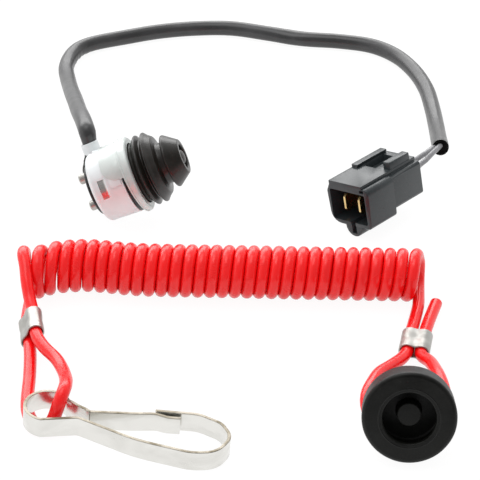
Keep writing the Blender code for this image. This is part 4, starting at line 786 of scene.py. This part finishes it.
def add_tongue(work, radius, sheet, back, low, front, corner, far):
    """A rounded tongue of sheet wrapped on the can, from a flat patch cut into narrow strips first.

    back and front are its ends along the can, low is the x of its lower edge, corner rounds that edge's rear
    end, and far is the angle in degrees where it stops.
    """
    start = math.acos(low / radius)
    stop = math.radians(far)
    edge = []
    for step in range(9):
        turn = math.pi / 2 * step / 8
        x = low + corner * (1 - math.cos(turn))
        edge.append((math.acos(x / radius) * radius, back + corner * (1 - math.sin(turn))))
    flat = bmesh.new()
    points = [(start * radius, front), *edge, (stop * radius, back), (stop * radius, front)]
    face = flat.faces.new([flat.verts.new((u, v, 0.0)) for u, v in points])
    face.normal_update()
    count = round((start - stop) * radius / 0.5)
    for step in range(1, count):
        u = (stop + (start - stop) * step / count) * radius
        bmesh.ops.bisect_plane(flat, geom=[*flat.verts, *flat.edges, *flat.faces], plane_co=(u, 0, 0),
                               plane_no=(1, 0, 0))
    bmesh.ops.solidify(flat, geom=list(flat.faces), thickness=sheet)
    shift = -min(v.co.z for v in flat.verts)
    rims = [e for e in flat.edges if e.calc_face_angle(0.0) > math.radians(60)]
    bmesh.ops.bevel(flat, geom=rims, offset=min(0.16, sheet * 0.35), segments=2, affect="EDGES", profile=0.5,
                    material=-1)
    for vertex in flat.verts:
        angle = vertex.co.x / radius
        r = radius + vertex.co.z + shift
        vertex.co = Vector((r * math.cos(angle), r * math.sin(angle), vertex.co.y))
    taken_in(work, flat)


TONGUE_R = 12.4
add_tongue(work, TONGUE_R, sheet=0.5, back=-6.9, low=-0.4, front=1.5, corner=5.2, far=-21.0)
before_leaf = len(work.faces)
add_tongue(work, TONGUE_R, sheet=0.28, back=-5.4, low=-2.3, front=-1.6, corner=0.8, far=84.0)
for face in list(work.faces)[before_leaf:]:
    face.material_index = 1
piece = add_piece("collar_ring", work, zinc, BASE, ("front_collar",), SWITCH)
piece.data.materials.append(steel_can)

# %% [markdown]
# ## Boot and plunger
# Bellows, neck and mushroom head are one soft rubber moulding, so its folds have round tips and round
# bottoms and its surface is matt with a little dust. Inside the head's mouth shows the domed end of the
# nylon plunger.

# %% Boot and plunger
boot = filleted((
    ((4.2, 15.0), 0.2), ((4.2, 19.2), 0.5), ((5.9, 19.2), 0.55), ((9.8, 13.8), 1.0), ((7.2, 13.8), 0.5),
    ((7.2, 11.5), 0.8), ((10.1, 11.1), 0.9), ((11.35, 9.6), 1.6), ((12.75, 8.4), 0.4), ((10.0, 7.1), 0.35),
    ((12.75, 5.8), 0.4), ((10.5, 4.0), 1.0), ((10.2, 1.7), 0.3), ((12.2, 1.7), 0.15), ((12.2, 0.8), 0.15),
    ((8.6, 0.8), 0.1), ((8.6, 3.8), 0.4), ((10.3, 5.8), 0.3), ((8.6, 7.1), 0.3), ((10.3, 8.4), 0.3),
    ((7.2, 10.1), 0.3), ((2.8, 10.1), 0.1), ((2.8, 15.0), 0.2),
), closed=True)
work = turned(boot, 160, closed=True)
for vertex in work.verts:
    x, y, s = vertex.co
    radius = math.hypot(x, y)
    if radius > 9.0 and s > 2.8:
        place = Vector((x, y, s))
        pushed_out(vertex, 0.06 * noise.noise(place * 0.18) + 0.02 * noise.noise(place * 0.9), radius)
add_piece("boot", work, boot_rubber, BASE, ("rubber_boot",), SWITCH, sharp=60.0)
ROD, DOME_TOP, DOME_RISE = 2.5, 19.5, 1.3
angles = [math.pi / 2 * k / 12 for k in range(13)]
dome = [(ROD * math.sin(angle), DOME_TOP - DOME_RISE * (1 - math.cos(angle))) for angle in angles]
work = turned([*dome, (ROD, -3.3), (3.4, -3.3), (3.4, -4.4), (1.2, -4.4), (1.2, -7.0), (0.0, -7.0)], 96)
add_piece("plunger_rod", work, plunger_nylon, "plunger", ("plunger",), SWITCH)

# %% [markdown]
# ## Cable clamp and grommet
# A narrow satin plated strap is closed round the sleeve and its foot lies against the can. Below it a ribbed
# rubber grommet carries the wires down behind the can and in through its base.

# %% Clamp and grommet
CLAMP_PLACE = Vector((15.0, -12.05, -12.9))
FOOT_SIZE, FOOT_PLACE = (2.0, 2.4, 5.0), (13.9, 0.0, -9.5)
along = Vector((0.985, 0.17, 0.0)).normalized()
across = Vector((0, 0, 1))
turn = Matrix((across, along.cross(across), along)).transposed().to_4x4()
work = turned(filleted((((2.7, -1.9), 0.08), ((3.12, -1.9), 0.15), ((3.12, 1.9), 0.15), ((2.7, 1.9), 0.08)),
                       closed=True), 96, closed=True)
bmesh.ops.transform(work, matrix=Matrix.Translation(CLAMP_PLACE) @ turn, verts=work.verts)
foot = bmesh.new()
bmesh.ops.create_cube(foot, size=1.0)
bmesh.ops.scale(foot, verts=foot.verts, vec=FOOT_SIZE)
bmesh.ops.bevel(foot, geom=foot.edges, offset=0.3, segments=3, affect="EDGES", profile=0.5, material=-1)
bmesh.ops.translate(foot, verts=foot.verts, vec=FOOT_PLACE)
bmesh.ops.rotate(foot, verts=foot.verts, cent=(0, 0, 0), matrix=Matrix.Rotation(math.radians(-32.0), 3, "Z"))
taken_in(work, foot)
add_piece("clamp_strap", work, steel_can, BASE, ("cable_clamp",), SWITCH)

GROMMET_ROUTE = (
    (12.3, -12.5, -13.2), (10.9, -12.7, -13.9), (9.0, -13.0, -15.2), (7.0, -13.4, -16.1), (5.0, -14.2, -16.0),
    (3.6, -15.2, -14.4), (2.6, -15.6, -11.6), (2.2, -14.4, -9.2), (2.0, -12.4, -8.0), (2.0, -10.4, -8.0),
)
grommet_route = smooth_route([Vector(point) for point in GROMMET_ROUTE], 0.4)


def grommet_section(index):
    """Ribbed at first, then narrowing to the neck that goes in."""
    share = index / (len(grommet_route) - 1)
    ribs = 0.14 * max(0.0, math.sin(share * 46.0)) if share < 0.75 else 0.0
    neck = max(0.0, (share - 0.78) / 0.22)
    return ring_of(3.1 - ribs - 1.1 * min(1.0, neck * 2), 28)


work = swept(grommet_route, grommet_section)
add_piece("grommet", work, cap_rubber, BASE, ("cable_grommet",), SWITCH)

# %% [markdown]
# ## Crimp sleeves
# Each is a length of thin oval tube pressed over two strands. The press leaves a shallow waist across it and a
# valley between the strands, and the cut ends are slightly rolled.

# %% Crimps
CRIMP_BORE, CRIMP_WALL = 2.25, 0.4
VALLEY = 0.32
PINCH, PINCH_REACH = 0.22, 0.17
ARC_STEPS, VALLEY_STEPS = 29, 7


def add_crimp(name, node, place, along, across, length=9.0):
    """An oval sleeve at place, its bore along one vector, its two strands apart by the other."""
    half = Vector(across).length / 2
    y_axis = Vector(along).normalized()
    x_axis = (Vector(across) - y_axis * Vector(across).dot(y_axis)).normalized()
    turn = Matrix((x_axis, y_axis, x_axis.cross(y_axis))).transposed().to_4x4()
    matrix = Matrix.Translation((Vector(place) + SHIFT) * MM) @ turn @ Matrix.Scale(MM, 4)
    work = bmesh.new()
    lines = []
    stations = [-0.5, -0.49, *[-0.47 + 0.94 * k / 30 for k in range(31)], 0.49, 0.5]
    for skin in (CRIMP_WALL, 0.0):
        for share in stations if skin else stations[::-1]:
            pinch = PINCH * math.exp(-((share / PINCH_REACH) ** 2)) if skin else 0.0
            lip = 0.1 if abs(share) == 0.5 and skin else 0.0
            ring = []
            for side in (1, -1):
                for k in range(ARC_STEPS):
                    angle = math.radians(-90 + 180 * k / (ARC_STEPS - 1))
                    r = CRIMP_BORE + skin - lip - pinch * abs(math.sin(angle))
                    ring.append((side * (half + r * math.cos(angle)), side * r * math.sin(angle)))
                top = ring[-1][1]
                for k in range(1, VALLEY_STEPS + 1):
                    x = half * (1 - k / 4)
                    dip = VALLEY * (1 + math.cos(math.pi * x / half)) / 2
                    ring.append((side * x, top - side * dip))
            lines.append([work.verts.new((x, share * length, z)) for x, z in ring])
    skinned(work, lines + lines[:1])
    add_piece(name, work, nickel, BASE, (node,), matrix, sharp=40.0)


add_crimp("hook_crimp", "crimp_hook", (-64.4, -55.1, 4.59), (0.178, -0.984, 0.0), (2.2, 0.0, 3.62), length=10.2)
add_crimp("cap_crimp", "crimp_cap", (53.85, -60.8, 2.75), (-0.205, -0.979, 0.0), (4.2, -0.88, 0.0))

# %% [markdown]
# ## Spring hook
# One strip of nickel plated spring steel stands on edge: a ring for the cord, a long bowed arm, a blunt nose,
# and the tongue that springs against it. It is bent cold round pins, so every bend is smooth and the strip's
# sheared edges are softened by the plating barrel. Those edges are rougher than its faces, and their darker,
# browner colour is painted dark reflection.

# %% Hook
HALF_STRIP, STRIP_HEIGHT, EDGE_EASE = 0.5, 6.4, 0.16


def strip(path, low, high):
    """A strip on edge along a 2D path, with eased edges. low and high give its edge heights along the way."""
    work = bmesh.new()
    rings = []
    for index, point in enumerate(path):
        before = path[max(index - 1, 0)]
        after = path[min(index + 1, len(path) - 1)]
        first = (point - before).normalized() if index else (after - point).normalized()
        second = (after - point).normalized() if index < len(path) - 1 else first
        middle = (first + second).normalized()
        normal = Vector((-middle.y, middle.x)) * HALF_STRIP / max(0.6, middle.dot(first))
        share = index / (len(path) - 1)
        a, b = point + normal, point - normal
        rings.append([work.verts.new((x, y, z)) for x, y, z in (
            (a.x, a.y, low(share)), (b.x, b.y, low(share)), (b.x, b.y, high(share)), (a.x, a.y, high(share)))])
    skinned(work, rings)
    work.faces.new(rings[0][::-1])
    work.faces.new(rings[-1])
    bmesh.ops.recalc_face_normals(work, faces=work.faces)
    rims = [e for e in work.edges if e.calc_face_angle(0.0) > math.radians(60)]
    bmesh.ops.bevel(work, geom=rims, offset=EDGE_EASE, segments=3, affect="EDGES", profile=0.5, material=-1)
    # Faces that point up or down are the sheared edges: they take the second finish, the painted dark
    # reflection.
    for face in work.faces:
        face.material_index = int(abs(face.normal.z) > 0.5)
    return work


RING_AT, RING_R = Vector((-12.3, 1.7)), 6.4
RING_FROM, RING_SWEEP, RING_STEPS = 26.0, 232.0, 58
ring_path = []
for step in range(RING_STEPS + 1):
    angle = math.radians(RING_FROM + RING_SWEEP * step / RING_STEPS)
    ring_path.append(RING_AT + RING_R * Vector((math.cos(angle), math.sin(angle))))
arm = filleted(((tuple(ring_path[-1]), 0.0), ((-3.3, -2.9), 3.0), ((13.4, -11.0), 40.0), ((29.1, -15.1), 12.0),
                ((36.4, -14.3), 7.0), ((40.5, -7.5), 5.0), ((37.6, -1.9), 5.0), ((31.0, 1.6), 9.0),
                ((18.5, 2.1), 0.0)), spread=5.0)
path = [Vector((-0.05, 0.0)), Vector((-1.6, 1.2)), Vector((-3.0, 2.0)), *ring_path, *arm[1:]]
hook = strip(path, lambda share: 0.0, lambda share: STRIP_HEIGHT)
piece = add_piece("hook_strip", hook, hook_steel, BASE, ("hook_frame",), HOOK, sharp=40.0)
piece.data.materials.append(sheared_edge_painted_dark)
path = filleted((((0.0, 0.0), 0.0), ((12.8, 0.35), 40.0), ((18.6, 0.85), 6.0), ((22.0, -0.35), 6.0),
                 ((25.8, -0.5), 0.0)), spread=4.0)
gate = strip(path, lambda share: 0.5 * share, lambda share: STRIP_HEIGHT - 0.2 * share)
piece = add_piece("hook_tongue", gate, hook_steel, "gate", ("hook_gate",), HOOK, sharp=40.0)
piece.data.materials.append(sheared_edge_painted_dark)

# %% [markdown]
# ## Cap
# A thick rubber moulding: a lipped mouth that snaps over the switch's head, a boss in its hollow that keeps
# the plunger pressed, a groove behind for the cord's loop, and a flat knob to pull. The mould leaves a fine
# ridge round the mouth's face.

# %% Cap
cap = filleted((
    ((0.0, -3.5), 0.0), ((3.4, -3.5), 0.35), ((3.4, -8.0), 0.5), ((9.3, -8.0), 1.0), ((9.3, -2.5), 0.6),
    ((7.55, -1.6), 0.3), ((7.55, 0.0), 0.5), ((8.5, 0.0), 0.1), ((8.7, 0.14), 0.1), ((8.9, 0.0), 0.1),
    ((13.4, 0.0), 1.25), ((13.2, -7.4), 0.5), ((12.3, -8.3), 0.5), ((9.0, -10.0), 0.6), ((5.8, -10.6), 0.8),
    ((5.8, -15.2), 0.6), ((8.8, -15.5), 0.7), ((8.8, -19.5), 0.8), ((0.0, -19.5), 0.0),
), spread=9.0)
work = turned(cap, 160)
for vertex in work.verts:
    x, y, s = vertex.co
    radius = math.hypot(x, y)
    if radius > 4.0:
        pushed_out(vertex, 0.05 * noise.noise(Vector((x, y, s)) * 0.2), radius)
add_piece("cap_rubber", work, cap_rubber, BASE, ("cap",), CAP, sharp=50.0)

# %% [markdown]
# ## Plug and inner pieces
# The housing is injection moulded nylon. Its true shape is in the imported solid, so the piece starts from
# those faces, merged back into whole walls, with the soft edges that a mould gives. The brass blades and the
# switch's inner pieces keep their solids and take their finishes here.

# %% Plug
WELD, SHORTEST_RIM, MOULD_EDGE = 0.000005, 0.0006, 0.00018
work = bmesh.new()
work.from_mesh(bpy.data.objects["connector_housing"].data)
bmesh.ops.remove_doubles(work, verts=work.verts, dist=WELD)
bmesh.ops.dissolve_limit(work, angle_limit=math.radians(1.0), verts=work.verts, edges=work.edges,
                         use_dissolve_boundaries=False)
rims = [e for e in work.edges if len(e.link_faces) == 2 and e.calc_face_angle(0.0) > math.radians(38)
        and e.calc_length() > SHORTEST_RIM]
bmesh.ops.bevel(work, geom=rims, offset=MOULD_EDGE, segments=2, affect="EDGES", profile=0.5, material=-1,
                clamp_overlap=True)
add_piece("plug_housing", work, nylon, BASE, ("connector_housing",), sharp=40.0)

FINISHES = {
    "plunger_guide": black_plastic, "contact_bridge": brass, "bridge_clip": spring_wire,
    "fixed_contact_a": brass, "fixed_contact_b": brass, "return_spring": spring_wire,
    "blade_terminal_a": brass, "blade_terminal_b": brass,
}
for node, surface in FINISHES.items():
    solid = bpy.data.objects[node]
    for slot in solid.material_slots:
        slot.link = "OBJECT"
        slot.material = surface
    print(node, len(solid.data.polygons), "faces,", len(solid.material_slots), "slots")
